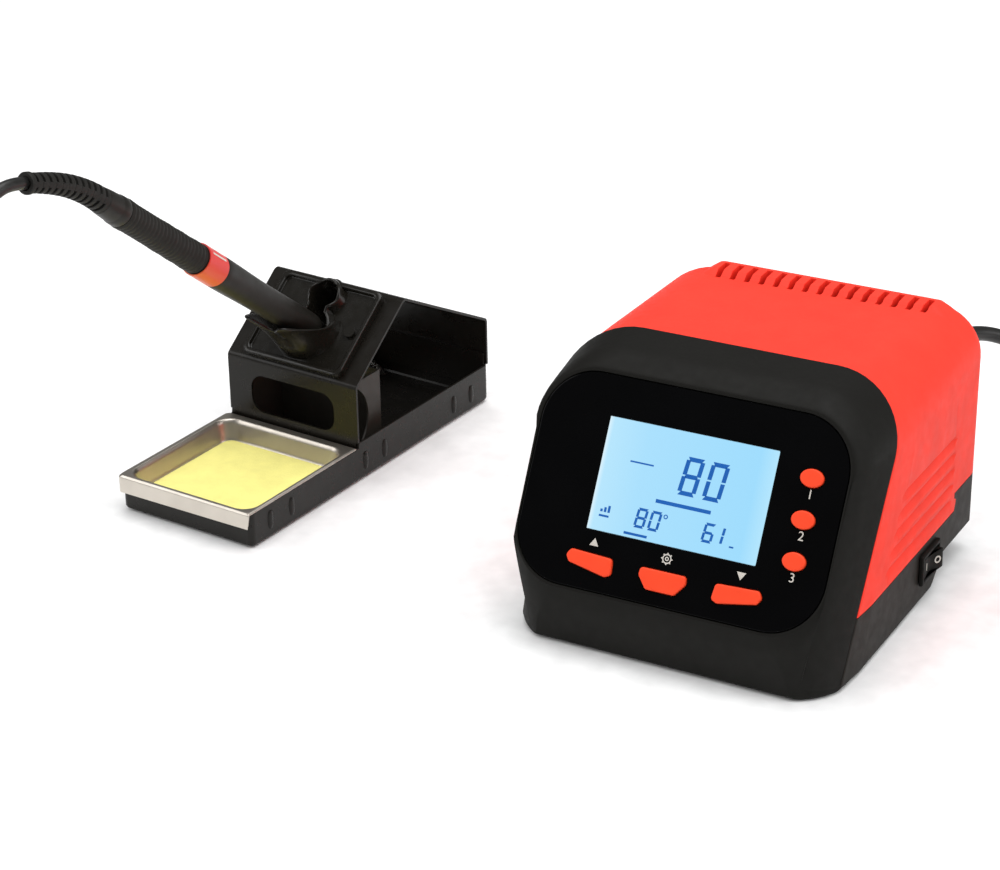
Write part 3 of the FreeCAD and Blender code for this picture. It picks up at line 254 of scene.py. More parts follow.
CERAMIC = grained("ceramic", (0.62, 0.57, 0.50), 0.55, 0.03)
TIPMETAL = (Shader("tinned_tip", (0.45, 0.43, 0.40), 0.35, 1.0).vary_colour(2.0, 0.7, 1.1)
            .vary_rough(1.5, 0.12)).material
BRASS = (Shader("nickel_pins", (0.66, 0.62, 0.52), 0.28, 1.0).vary_rough(2.0, 0.08)
         .vary_colour(4.0, 0.9, 1.05)).material


# ================================================================ mesh helpers
def as_object(name, bm, place, material, smooth=True):
    """Turns local millimetres into metres in the station's frame and makes the object."""
    for vertex in bm.verts:
        vertex.co = (place @ vertex.co) * MM
    bmesh.ops.recalc_face_normals(bm, faces=bm.faces)
    mesh = bpy.data.meshes.new(name)
    bm.to_mesh(mesh)
    bm.free()
    for polygon in mesh.polygons:
        polygon.use_smooth = smooth
    mesh.materials.append(material)
    return linked(name, mesh)


def soften(obj, width_mm, angle=32.0, weld=False):
    """Small round on every sharp edge, and normals that keep the flats flat."""
    if weld:
        merge = obj.modifiers.new("weld", "WELD")
        merge.merge_threshold = 0.00002
    if width_mm:
        bevel = obj.modifiers.new("edges", "BEVEL")
        bevel.width, bevel.segments = width_mm * MM, 2
        bevel.limit_method, bevel.angle_limit = "ANGLE", math.radians(angle)
        bevel.miter_outer = "MITER_ARC"
    normals = obj.modifiers.new("normals", "WEIGHTED_NORMAL")
    normals.keep_sharp = True
    return obj


def belongs(obj, body, slot, *nodes):
    """Says which CAD body a piece rides on and which CAD nodes it stands for; slot, its finish, is not used."""
    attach(obj, body)
    if nodes:
        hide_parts(*nodes)
    return obj


def finished(obj, sharp, body, slot, *nodes, edge=0, angle=32.0):
    """Marks edges over sharp degrees, rounds them by edge (None: no modifiers) and says what the piece is."""
    obj.data.set_sharp_from_angle(angle=math.radians(sharp))
    if edge is not None:
        soften(obj, edge, angle)
    return belongs(obj, body, slot, *nodes)


def piece(name, bm, place, material, sharp, *owner, edge=0):
    return finished(as_object(name, bm, place, material), sharp, *owner, edge=edge)


def evaluated_mesh(obj):
    return bpy.data.meshes.new_from_object(obj.evaluated_get(bpy.context.evaluated_depsgraph_get()))


def skin(bm, rings, wrap=False, gap=None):
    """Faces between successive rings; wrap joins the last to the first, and the gap after that ring stays open."""
    rows = [[bm.verts.new(p) for p in ring] for ring in rings]
    for i, (low, high) in enumerate(zip(rows, rows[1:] + rows[:1] if wrap else rows[1:])):
        if i != gap:
            for k in range(len(low)):
                after = (k + 1) % len(low)
                bm.faces.new((low[k], low[after], high[after], high[k]))
    return rows


def loft(rings, bm=None):
    """Skin over rings of the same number of points, closed at both ends."""
    bm = bm or bmesh.new()
    rows = skin(bm, rings)
    bm.faces.new(rows[0][::-1])
    bm.faces.new(rows[-1])
    return bm


def ring_body(rings, bm=None):
    """Closed skin whose last ring joins its first."""
    bm = bm or bmesh.new()
    skin(bm, rings, wrap=True)
    return bm


def circle(r, n, x=0.0, y=0.0, ry=None):
    """Points round a circle, or round an ellipse when ry is given."""
    steps = [math.tau * k / n for k in range(n)]
    return [(x + r * math.cos(a), y + (ry or r) * math.sin(a)) for a in steps]


def clamp(t):
    return max(0.0, min(1.0, t))


def parabola(a, b, c, t):
    """Point at t of the parabola from a to c that leans on b."""
    return a * (1 - t) ** 2 + b * 2 * t * (1 - t) + c * t * t


def outline(half, low, high, r_low, r_high, n=12):
    """Rounded rectangle, the same both sides of x = 0."""
    points = []
    for cx, cy, r, start in ((half - r_low, low + r_low, r_low, 270), (half - r_high, high - r_high, r_high, 0),
                             (r_high - half, high - r_high, r_high, 90), (r_low - half, low + r_low, r_low, 180)):
        for k in range(n + 1):
            a = math.radians(start + 90 * k / n)
            points.append((cx + r * math.cos(a), cy + r * math.sin(a)))
    return points


def at_height(points, z):
    return [Vector((x, y, z)) for x, y in points]


def corners_of(x0, x1, y0, y1):
    return [(x0, y0), (x1, y0), (x1, y1), (x0, y1)]


def rounded(corners, radius, n=5):
    """Closed loop of 2-D points with rounded corners."""
    points = []
    count = len(corners)
    for k in range(count):
        before, corner, after = (Vector(corners[(k + d) % count]) for d in (-1, 0, 1))
        into, out = (corner - before).normalized(), (after - corner).normalized()
        half = into.angle(out) / 2
        reach = min(radius * math.tan(half), 0.48 * (corner - before).length, 0.48 * (after - corner).length)
        start, stop = corner - into * reach, corner + out * reach
        for i in range(n + 1):
            t = i / n
            points.append(tuple(parabola(start, corner, stop, t)))
    return points


def slab(points, low, high, bm=None):
    return loft([at_height(points, low), at_height(points, high)], bm=bm)


def turned(profile, n=48):
    """Solid of revolution about z from (radius, z) points, closed on itself."""
    return ring_body([at_height(circle(r, n), z) for r, z in profile])


def shaft(profile, n=48, bm=None):
    """Solid of revolution with flat ends."""
    return loft([at_height(circle(r, n), z) for r, z in profile], bm)


def block(x0, x1, y0, y1, z0, z1, bm=None):
    return slab(corners_of(x0, x1, y0, y1), z0, z1, bm)


def add_mesh(bm, other):
    """Moves the other mesh's geometry into the first."""
    mesh = bpy.data.meshes.new("part")
    other.to_mesh(mesh)
    other.free()
    bm.from_mesh(mesh)
    bpy.data.meshes.remove(mesh)


def carve(obj, cutter, operation="DIFFERENCE"):
    """Applies one boolean and removes the cutter; a boolean that loses the piece stops the script."""
    cut = obj.modifiers.new("carve", "BOOLEAN")
    cut.operation, cut.object, cut.solver = operation, cutter, "EXACT"
    settled = evaluated_mesh(obj)
    if not settled.polygons:
        raise RuntimeError(f"nothing is left of {obj.name} after {operation} with {cutter.name}")
    obj.modifiers.clear()
    obj.data = settled
    for polygon in settled.polygons:
        polygon.use_smooth = True
    bpy.data.objects.remove(cutter)
    return obj


def cut_away(obj, bm, place, material, operation="DIFFERENCE"):
    return carve(obj, as_object("tool", bm, place, material), operation)


def flat_faced(obj):
    """Splits the faces into triangles, because the exact boolean can drop a warped four-sided one."""
    bm = bmesh.new()
    bm.from_mesh(obj.data)
    bmesh.ops.triangulate(bm, faces=bm.faces)
    bm.to_mesh(obj.data)
    bm.free()
    return obj


def keep(node, material, bevel=0.25):
    """A CAD node that stays as it is, with a finished material and softened edges."""
    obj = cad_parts[node]
    obj.data.materials.clear()
    obj.data.materials.append(material)
    soften(obj, bevel, weld=True)


# ================================================================ cords
def spline_object(name, points, diameter, material):
    """Round cord along a NURBS spline whose control points are the route."""
    data = bpy.data.curves.new(name, "CURVE")
    data.dimensions, data.resolution_u = "3D", 6
    data.bevel_depth, data.bevel_resolution, data.use_fill_caps = diameter / 2 * MM, 6, True
    spline = data.splines.new("NURBS")
    spline.points.add(len(points) - 1)
    for target, p in zip(spline.points, points):
        target.co = (*(p * MM), 1.0)
    spline.order_u, spline.use_endpoint_u = 3, True
    data.materials.append(material)
    return linked(name, data)


def coil_points(x, y, outer, diameter, start, turns, per_turn=18):
    """Clockwise turns of a neat coil: three lanes in on the bench, then three lanes out on top of them."""
    radius, mid = outer - diameter / 2, diameter / 2
    lanes = [(radius - diameter * k, mid) for k in (0, 1, 2)]
    lanes += [(radius - diameter * k, mid + diameter) for k in (2, 1, 0)]
    swell = 1 / (0.25 * math.cos(math.tau / per_turn) + 0.75)
    points = []
    for k in range(1, int(per_turn * turns) + 1):
        done = k / per_turn
        lane = min(int(done), len(lanes) - 1)
        after = lanes[min(lane + 1, len(lanes) - 1)]
        t = clamp((done - lane - 0.72) / 0.28) if lane < len(lanes) - 1 else 0.0
        t = t * t * (3 - 2 * t)
        r, z = (a + (b - a) * t for a, b in zip(lanes[lane], after))
        a = math.radians(start) - math.tau * done
        points.append(Vector((x + r * swell * math.cos(a), y + r * swell * math.sin(a), z)))
    return points


MAINS_ROUTE = [(52, 184.1, 81), (52.6, 195.5, 80.9), (55.6, 207, 79.8), (62.4, 217.6, 76.6), (72.4, 225.6, 70.6),
               (84.6, 230, 61.2), (97, 231.4, 49), (109, 230, 35.5), (121.5, 226.4, 22.5), (135, 220.5, 12.4),
               (148, 213, 6), (159.5, 205.6, 3.6), (170.5, 201.3, 3.5), (182, 200.2, 3.5)]
MAINS_RING = (208.0, 156.7, 47.0)
IRON_ROUTE = [(0, -9.5, 2.6), (0, -19.8, 1.2), (0, -29.8, -4.2), (-0.4, -38, -13.5), (-0.9, -43.6, -26.5),
              (-1.4, -46.8, -44), (-1.9, -48.4, -67), (-2.4, -49.4, -95), (-3, -50.2, -122), (-4.2, -50.8, -146),
              (-7.4, -51.2, -164.5), (-14, -51.4, -180), (-24, -51.6, -191), (-36.5, -51.8, -197.2),
              (-50.5, -51.9, -198.6), (-63.5, -51.9, -198.6)]
IRON_RING_OUTER = 36.6
BOOT_END = Vector((0.0, -86.327, 199.961))           # where the iron's cord leaves its strain relief


def mains_points():
    points = [Vector(p) for p in MAINS_ROUTE]
    x, y, outer = MAINS_RING
    mid = MAINS_D / 2
    points += [Vector((195.0, y + outer - mid, mid))]
    points += coil_points(x, y, outer, MAINS_D, 90.0, 5.5)
    low = y - outer + mid
    points += [Vector((x - 9, low, 9.6)), Vector((x - 17, low, 6.8)), Vector((x - 24, low, 4.2)),
               Vector((x - 31, low, 3.5))]
    return [UNIT @ p for p in points]


def iron_points():
    points = [BOOT_END] + [BOOT_END + Vector(p) for p in IRON_ROUTE]
    mid = IRON_D / 2
    for p in points[-2:]:
        p.z = mid
    x, y = points[-1].x - 20.0, points[-1].y + IRON_RING_OUTER - mid
    points += [Vector((x + 9, points[-1].y, mid))]
    points += coil_points(x, y, IRON_RING_OUTER, IRON_D, -90.0, 5.25)
    left, top = x - IRON_RING_OUTER + mid, mid + IRON_D
    points += [Vector((left, y + 9, top)), Vector((left, y + 18, top)), Vector((left, y + 27, top))]
    return [STAND @ p for p in points]


def centre_line(points):
    """Points along the route's NURBS spline, in metres."""
    thin = spline_object("line", points, 0.0, CORD)
    thin.data.bevel_depth = 0.0
    line = [vertex.co.copy() for vertex in evaluated_mesh(thin).vertices]
    bpy.data.objects.remove(thin)
    return line


def tube_along(name, line, radius, material, n=14):
    """Mesh tube round a line of points in metres, with rings that never twist."""
    bm = bmesh.new()
    side = Vector((1, 0, 0))
    rings = []
    for k, p in enumerate(line):
        ahead = (line[min(k + 1, len(line) - 1)] - line[max(k - 1, 0)]).normalized()
        side = (side - ahead * side.dot(ahead)).normalized()
        up = ahead.cross(side)
        rings.append([p + (side * math.cos(math.tau * i / n) + up * math.sin(math.tau * i / n)) * radius
                      for i in range(n)])
    loft(rings, bm=bm)
    return as_object(name, bm, Matrix.Scale(1 / MM, 4), material)


def add_cords():
    mains = spline_object("mains_lead", mains_points(), MAINS_D, CORD)
    belongs(mains, "station", "cord_rubber", "mains_cord", "mains_cord_coil")
    line = centre_line(iron_points())
    flex = tube_along("iron_flex", line, IRON_D / 2 * MM, CORD)
    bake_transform(flex)
    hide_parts("iron_cord", "iron_cord_coil")
    return mains, flex, line


mains_lead, iron_flex, iron_line = add_cords()


# ================================================================ control unit
def lean_v(w, z):
    """Height up the lean at which a plane w in front of the seam is z above the bench."""
    slope = math.radians(TILT)
    return (z - w * math.sin(slope)) / math.cos(slope)


def tilted(half, low, high, r_low, r_high, w, n=12):
    """Ring in a plane parallel to the front, in the unit's own frame."""
    stand_up = turn("X", 90 - TILT)
    return [stand_up @ p for p in at_height(outline(half, low, high, r_low, r_high, n), w)]


def upright(half, low, high, r_low, r_high, y, n=12):
    return [Vector((x, y, z)) for x, z in outline(half, low, high, r_low, r_high, n)]


def soft_rings(rings, reach, steps=5):
    """The rings with a round turned at each inner one; reach gives how far each round starts from its ring."""
    rows = [rings[0]]
    for before, corner, after, far in zip(rings, rings[1:], rings[2:], reach):
        if not far:
            rows.append(corner)
            continue
        starts = [c + (b - c).normalized() * min(far, 0.48 * (b - c).length) for b, c in zip(before, corner)]
        stops = [c + (a - c).normalized() * min(far, 0.48 * (a - c).length) for a, c in zip(after, corner)]
        for k in range(steps + 1):
            t = k / steps
            rows.append([parabola(s, c, e, t) for s, c, e in zip(starts, corner, stops)])
    rows.append(rings[-1])
    return rows


REAR_LEFT = 2.4                                      # the rear of the left side stands this far in
LIFT = 0.7                                           # the casing stands this far off the bench on its feet
UNIT_FEET = [(-56, 10), (56, 10), (-58, 88), (58, 88)]
CHIN_Y = -15.2
FOOTPRINT = [(0, 77.4, -14.2, 26.6), (2, 78.8, -15.1, 27.4), (14, 79.6, CHIN_Y, 28), (34, 80.6, CHIN_Y, 28),
             (200, 82, CHIN_Y, 28)]                  # height, half width, front, radius of the front corners
# the left side draws in more
FOOTPRINT_LEFT = [(0, 73.4, -14.2, 29), (2, 74.6, -15.1, 30), (8, 76.2, CHIN_Y, 30), (14, 77.2, CHIN_Y, 30),
                  (27, 78.6, CHIN_Y, 29), (42, 79.6, CHIN_Y, 28), (200, 80.6, CHIN_Y, 28)]


def within_footprint(p, inset=0.0, soft=1.5):
    """The point brought inside the upright walls under the lean, with a soft edge where it is cut."""
    z = max(0.0, p.z)
    levels = FOOTPRINT if p.x > 0 else FOOTPRINT_LEFT
    for a, b in zip(levels, levels[1:]):
        if a[0] <= z <= b[0]:
            t = (z - a[0]) / (b[0] - a[0])
            half, front, radius = (u + (v - u) * t for u, v in zip(a[1:], b[1:]))
    centre = Vector((half - radius, front + radius))
    radius -= inset
    flat = Vector((abs(p.x), p.y))
    away = flat - centre
    if away.x > 0 and away.y < 0:
        excess, direction = away.length - radius, away.normalized()
    elif away.y < 0:
        excess, direction = -away.y - radius, Vector((0, -1))
    else:
        excess, direction = away.x - radius, Vector((1, 0))
    if excess > -soft:
        kept = 0.0 if excess > soft else -(excess - soft) ** 2 / (4 * soft)
        flat -= direction * (excess - kept)
    return Vector((math.copysign(flat.x, p.x), flat.y, p.z))


def refined(rings, parts):
    """More rings in between, parts of them per gap."""
    rows = [rings[0]]
    for (low, high), count in zip(zip(rings, rings[1:]), parts):
        rows += [[a.lerp(b, (k + 1) / count) for a, b in zip(low, high)] for k in range(count)]
    return rows


PANEL_PLAN = (70.9, 19.9, 112.1, 24.0, 24.0)


def add_bezel():
    outer = [two_sided(tilted(UNIT_HALF - 0.5, lean_v(0, LIFT) + 0.4, SEAM_TOP - 0.5, 3, 32.6, 0.25),
                       tilted(UNIT_HALF - 1.5, lean_v(0, LIFT) + 0.4, SEAM_TOP - 0.5, 3, 34.6, 0.25)),
             two_sided(tilted(UNIT_HALF, lean_v(0.8, LIFT), SEAM_TOP, 3, 33, 0.9),
                       tilted(UNIT_HALF - 1, lean_v(0.8, LIFT), SEAM_TOP, 3, 35, 0.9)),
             two_sided(tilted(77.0, lean_v(FOLD_DEPTH, LIFT), 123.0, 6, 31, FOLD_DEPTH),
                       tilted(75.6, lean_v(FOLD_DEPTH, LIFT), 122.4, 6, 33, FOLD_DEPTH)),
             tilted(73.6, lean_v(FACE, LIFT + 1), 114.5, 6, 26, FACE),
             tilted(71.9, 18.4, 113.1, 25, 25, FACE),
             tilted(71.4, 19.4, 112.6, 24.5, 24.5, FACE - 0.15),
             tilted(71.2, 19.6, 112.4, 24.3, 24.3, FACE - PANEL_THICK - 0.1),
             tilted(64.5, 22.6, 107.0, 20, 20, FACE - PANEL_THICK - 0.1),
             tilted(64.5, 22.6, 107.0, 20, 20, 21.0),
             tilted(73.3, lean_v(20.5, 3.4), 119.5, 4, 28, 20.5),
             tilted(77.4, lean_v(0, 3.2), 133.2, 2, 30.4, 0.25)]
    parts = [1] * 6 + [4] + [1] * 5 + [3] + [1] * 5 + [6] + [1] * 9      # more rings where a side is long
    front = refined(soft_rings(outer[:6], [0.45, 5.0, 2.6, 0.4]), parts)
    front = [[within_footprint(p) for p in ring] for ring in front]
    back = [[within_footprint(p, 2.4) for p in ring] for ring in outer[6:]]
    piece("bezel", ring_body(front + back), UNIT, BLACK, 40, "station", "black_plastic", "front_bezel")


def recess(casing, places):
    """Round recesses under the casing for the rubber feet."""
    bm = bmesh.new()
    for x, y in places:
        shaft([(6.15, -1), (6.15, 1.45)], 32, bm)
        bmesh.ops.translate(bm, verts=bm.verts[-64:], vec=(x, y, 0))
    cut_away(casing, bm, UNIT, BLACK)


def two_sided(right, left):
    """Ring whose right half comes from one outline and whose left half from another."""
    half = len(right) // 2
    return right[:half] + left[half:]


def shell_rings(inset):
    """Casing behind the seam: straight to the waist, then drawn in towards the rear panel."""
    k = inset
    edge = REAR_EDGE + k
    low = 3 - 0.4 * k
    waist_y, end_y = UNIT_REAR - edge, UNIT_REAR - k
    front = -0.15 if k == 0 else 1.3                 # the cavity starts ahead of the casing's front, to cut it open
    rings = [two_sided(tilted(UNIT_HALF - k - 0.4, lean_v(0, LIFT) + k, SEAM_TOP - k - 0.4, low, 33 - k, front),
                       tilted(UNIT_HALF - k - 1.4, lean_v(0, LIFT) + k, SEAM_TOP - k - 0.4, low, 35 - k, front)),
             two_sided(tilted(UNIT_HALF - k, lean_v(-0.8, LIFT) + k, SEAM_TOP - k - 0.25, low, 33 - k, -0.7),
                       tilted(UNIT_HALF - k - 1, lean_v(-0.8, LIFT) + k, SEAM_TOP - k - 0.25, low, 35 - k, -0.7)),
             two_sided(upright(UNIT_HALF + 1.3 - k, LIFT + k, ROOF + 1.4 - k, low, 22 - k, waist_y),
                       upright(UNIT_HALF - REAR_LEFT - k, LIFT + k, ROOF - 0.2 - k, low, 34 - k, waist_y)),
             two_sided(upright(UNIT_HALF + 1.3 - edge, LIFT + edge, ROOF + 1.0 - edge, low, 20 - k, end_y),
                       upright(UNIT_HALF - REAR_LEFT - edge, LIFT + edge, ROOF - 0.2 - edge, low, 30 - k, end_y))]
    rows = refined(soft_rings(rings, [0.4, 4.0]), [1] * 6 + [8] + [1] * 6)
    return [[within_footprint(p, k) for p in ring] for ring in rows]


def profile_along_x(points, half):
    """A (y, z) polygon grown both ways along x."""
    bm = bmesh.new()
    return loft([[Vector((x, y, z)) for y, z in points] for x in (-half, half)], bm=bm)


def step_profile(lift):
    return [(102 - lift * 0.5, lift - 6), (102 - lift * 0.5, lift + LIFT), (117 - lift * 0.5, 13.6 + lift),
            (UNIT_REAR + 5, 13.6 + lift), (UNIT_REAR + 5, lift - 6)]


def lower_profile(gap):
    """Side view of the black casing's region; the joint steps up near the rear."""
    return [(-60, -6), (-60, SPLIT + gap), (SPLIT_Y + 0.5, SPLIT + gap), (SPLIT_Y + 2.3 + gap, 34.2),
            (SPLIT_Y - gap, 35.4), (SPLIT_Y - gap, SPLIT_REAR + gap), (UNIT_REAR + 9, SPLIT_REAR + gap),
            (UNIT_REAR + 9, -6)]


def add_shells():

    def solid(name, bm):
        return as_object(name, bm, UNIT, RED)

    casing = flat_faced(solid("casing", loft(shell_rings(0.0))))
    cut_away(casing, profile_along_x(step_profile(0.0), UNIT_HALF + 6), UNIT, RED)
    hump = solid("tool", loft(soft_rings(
        [at_height(rounded(corners_of(*plan), r), z) for plan, r, z in
         (((-54, 73, 129, 151.2), 5, 100.0), ((-52, 70.5, 133.5, 151.0), 5, 115.0),
          ((-45.5, 62.5, 140, 149.4), 3, HUMP_TOP))], [5.0])))
    carve(casing, flat_faced(hump), "UNION")
    flat_faced(casing)
    cavity = flat_faced(solid("tool", loft(shell_rings(3.2))))
    cut_away(cavity, profile_along_x(step_profile(2.6), UNIT_HALF + 6), UNIT, RED)
    lower = linked("lower", casing.data.copy())
    for shell, gap in ((casing, 0.16), (lower, -0.16)):
        carve(shell, linked("hollow", cavity.data.copy()))
        cut_away(shell, profile_along_x(lower_profile(gap), UNIT_HALF + 9), UNIT, RED,
                 "DIFFERENCE" if shell is casing else "INTERSECT")
    bpy.data.objects.remove(cavity)
    opening = [Vector((x, y, z)) for y in (UNIT_REAR - 7, UNIT_REAR + 5) for x, z in outline(64, 44, 102, 6, 16)]
    count = len(opening) // 2
    bm = loft([opening[:count], opening[count:]])
    for k in range(VENTS):
        x = VENT_MIDDLE + VENT_PITCH * (k - VENTS // 2)
        loft([at_height(rounded(corners_of(x - w, x + w, 135.2 + e, 147.4 - e), 0.5), z)
              for w, e, z in ((1.1, 0.3, 106), (1.3, 0.1, 117.4), (1.9, -0.6, 125))], bm=bm)
    cut_away(casing, bm, UNIT, RED)
    cut_away(casing, louvre_tools(), UNIT, RED)
    hole = block(70, 90, SWITCH_Y - 9.7, SWITCH_Y + 9.7, SWITCH_Z - 6.5, SWITCH_Z + 6.5)
    cut_away(lower, hole, UNIT, RED)
    recess(lower, UNIT_FEET)
    for shell, name, material, slot, node in ((casing, "upper_casing", RED, "red_plastic", "upper_shell"),
                                              (lower, "lower_casing", UNDER_BLACK, "black_plastic", "lower_shell")):
        shell.name = name
        shell.data.materials.clear()
        shell.data.materials.append(material)
        finished(shell, 34, "station", slot, node)


def side_wall(side, y, z):
    """Distance of the casing's side from the middle at this depth and height."""
    seam = z * math.tan(math.radians(TILT))
    t = (y - seam) / (UNIT_REAR - REAR_EDGE - seam)
    front, rear = (UNIT_HALF, UNIT_HALF + 1.3) if side > 0 else (UNIT_HALF - 1, UNIT_HALF - REAR_LEFT)
    return abs(within_footprint(Vector((side * (front + (rear - front) * t), y, z))).x)


def louvre_tools():
    """Level V grooves in both sides; their ends follow the lean of the seam and run out softly."""
    bm = bmesh.new()
    for k in range(5):
        top = 69.4 - 7.5 * k
        front, back = 57.5 - 4.1 * k, min(142.6 - 4.1 * k, SPLIT_Y)
        for side in (-1, 1):
            def section(y, deep):
                rows = ((2.0, top), (2.0, top - 7.3), (0.15, top - 7.3), (-deep, top - 3.4), (0.15, top))
                return [Vector((side * (side_wall(side, y, z) + out), y, z)) for out, z in rows]
            loft([section(front, -0.1), section(front + 8, 1.9), section(back - 5, 1.9),
                  section(back, -0.1)], bm=bm)
    return bm


def grown(points, d):
    """Closed loop of 2-D points moved outwards by d."""
    count = len(points)
    area = sum(points[k][0] * points[(k + 1) % count][1] - points[(k + 1) % count][0] * points[k][1]
               for k in range(count))
    sign = 1 if area > 0 else -1
    out = []
    for k in range(count):
        a, b = Vector(points[k - 1]), Vector(points[(k + 1) % count])
        t = (b - a).normalized()
        out.append((points[k][0] + sign * t.y * d, points[k][1] - sign * t.x * d))
    return out


def teardrop(side):
    corners = [(43.6, 30.2), (26.2, 27.0), (23.2, 28.2), (24.0, 35.2), (43.6, 36.0), (45.4, 33.0)]
    return rounded([(side * x, v) for x, v in corners], 1.9)


def trapezoid():
    return rounded([(-10.6, 35.0), (10.6, 35.0), (10.9, 31.4), (6.6, 26.0), (-6.6, 26.0), (-10.9, 31.4)], 1.8)


def oval(v, x=55.5, n=40):
    return circle(5.2, n, x, v, 3.9)


BUTTONS = {"channel_button_1": (oval(86.3), (55.5, 86.3)), "channel_button_2": (oval(68.7), (55.5, 68.7)),
           "channel_button_3": (oval(51.1), (55.5, 51.1)), "up_button": (teardrop(-1), (-34.5, 32.2)),
           "set_button": (trapezoid(), (0, 30.8)), "down_button": (teardrop(1), (34.5, 32.2))}
LCD = (-39.2, 39.2, 45.7, 94.7)


def add_panel():
    plan = outline(*PANEL_PLAN, 16)
    plate = as_object("panel", loft([at_height(grown(plan, g), w) for g, w in
                                     ((0, FACE - PANEL_THICK), (0, FACE - 0.55), (-0.16, FACE - 0.16),
                                      (-0.55, FACE - 0.01))]), PANEL, GLOSS)
    bm = slab(rounded(corners_of(*LCD), 0.8), 10, 40)
    for plan, _ in BUTTONS.values():
        slab(grown(plan, 0.35), 10, 40, bm)
    cut_away(plate, bm, PANEL, GLOSS)
    finished(plate, 30, "station", "gloss_panel", "display_panel", edge=0.14, angle=50)
    for name, (plan, (x, v)) in BUTTONS.items():
        back, top = FACE - PANEL_THICK, FACE + 1.3
        n = len(plan)
        stem = circle(2, n, x, v)
        start = min(range(n), key=lambda k: (Vector(stem[k]) - Vector(plan[0])).length)
        stem = stem[start:] + stem[:start]
        rings = [at_height(stem, 22.25), at_height(stem, back - 1.6), at_height(grown(plan, 1.0), back - 1.6),
                 at_height(grown(plan, 1.0), back - 0.3), at_height(plan, back - 0.3), at_height(plan, top - 0.75)]
        rings += [at_height(grown(plan, -0.75 * (1 - math.cos(a))), top - 0.75 * (1 - math.sin(a)))
                  for a in (math.pi / 8, math.pi / 4, 3 * math.pi / 8, math.pi / 2)]
        rings.append(at_height([((px - x) * 0.5 + x, (pv - v) * 0.5 + v) for px, pv in plan], top + 0.06))
        piece(name + "_cap", loft(rings), PANEL, KEY, 50, name + "_body", "orange_plastic", name)


# ---------------------------------------------------------------- display
def lcd_material():
    """Pale blue liquid-crystal glass, lit from its left edge."""
    shader = Shader("lcd_face", (0.03, 0.06, 0.09), 0.18, specular=0.2).vary_rough(20.0, 0.03)
    across = PANEL.to_3x3() @ Vector((1, 0, 0))
    left = across.dot(PANEL @ Vector((LCD[0], 0, FACE)))
    stops = ((0.0, (0.80, 0.95, 1.0)), (0.03, (0.50, 0.82, 1.0)), (0.25, (0.42, 0.77, 1.0)),
             (0.9, (0.36, 0.74, 1.0)), (1.0, (0.48, 0.82, 1.0)))
    shader.graded(across, left, left + LCD[1] - LCD[0], stops, "Emission Color")
    shader.bsdf.inputs["Emission Strength"].default_value = 0.88
    return shader.material


SEGMENTS = {"8": "abcdefg", "0": "abcdef", "6": "acdefg", "1": "bc"}


def digit(bm, char, x, v, width, height, stroke, top):
    """Slanted seven-segment numeral."""
    lean = 0.10
    w, h, s, g = width, height, stroke, stroke * 0.12
    bars = {"a": (0, h - s, w, h), "d": (0, 0, w, s), "g": (s * 0.6, h / 2 - s / 2, w - s * 0.6, h / 2 + s / 2),
            "f": (0, h / 2, s, h - s * 0.6), "b": (w - s, h / 2, w, h - s * 0.6),
            "e": (0, s * 0.6, s, h / 2), "c": (w - s, s * 0.6, w, h / 2)}
    for key in SEGMENTS[char]:
        x0, v0, x1, v1 = bars[key]
        if key in "ad":
            inset = s * 0.9
            top_edge = v1 if key == "a" else v0
            low_edge = v0 if key == "a" else v1
            corners = [(x0 + g * 2, top_edge), (x1 - g * 2, top_edge), (x1 - inset, low_edge),
                       (x0 + inset, low_edge)]
        elif key == "g":
            mid = (v0 + v1) / 2
            corners = [(x0, mid), (x0 + s / 2, v1), (x1 - s / 2, v1), (x1, mid), (x1 - s / 2, v0), (x0 + s / 2, v0)]
        else:
            corners = [(x0, v0 + g * 2), (x1, v0 + g * 2), (x1, v1 - g), (x0, v1 - g)]
        slab([(x + cx + lean * cv, v + cv) for cx, cv in corners], top - 0.12, top, bm)


def ring_slab(bm, x, v, r_out, r_in, low, high, n=32):
    corners = ((r_out, low), (r_out, high), (r_in, high), (r_in, low))
    ring_body([at_height(circle(r, n, x, v), z) for r, z in corners], bm)


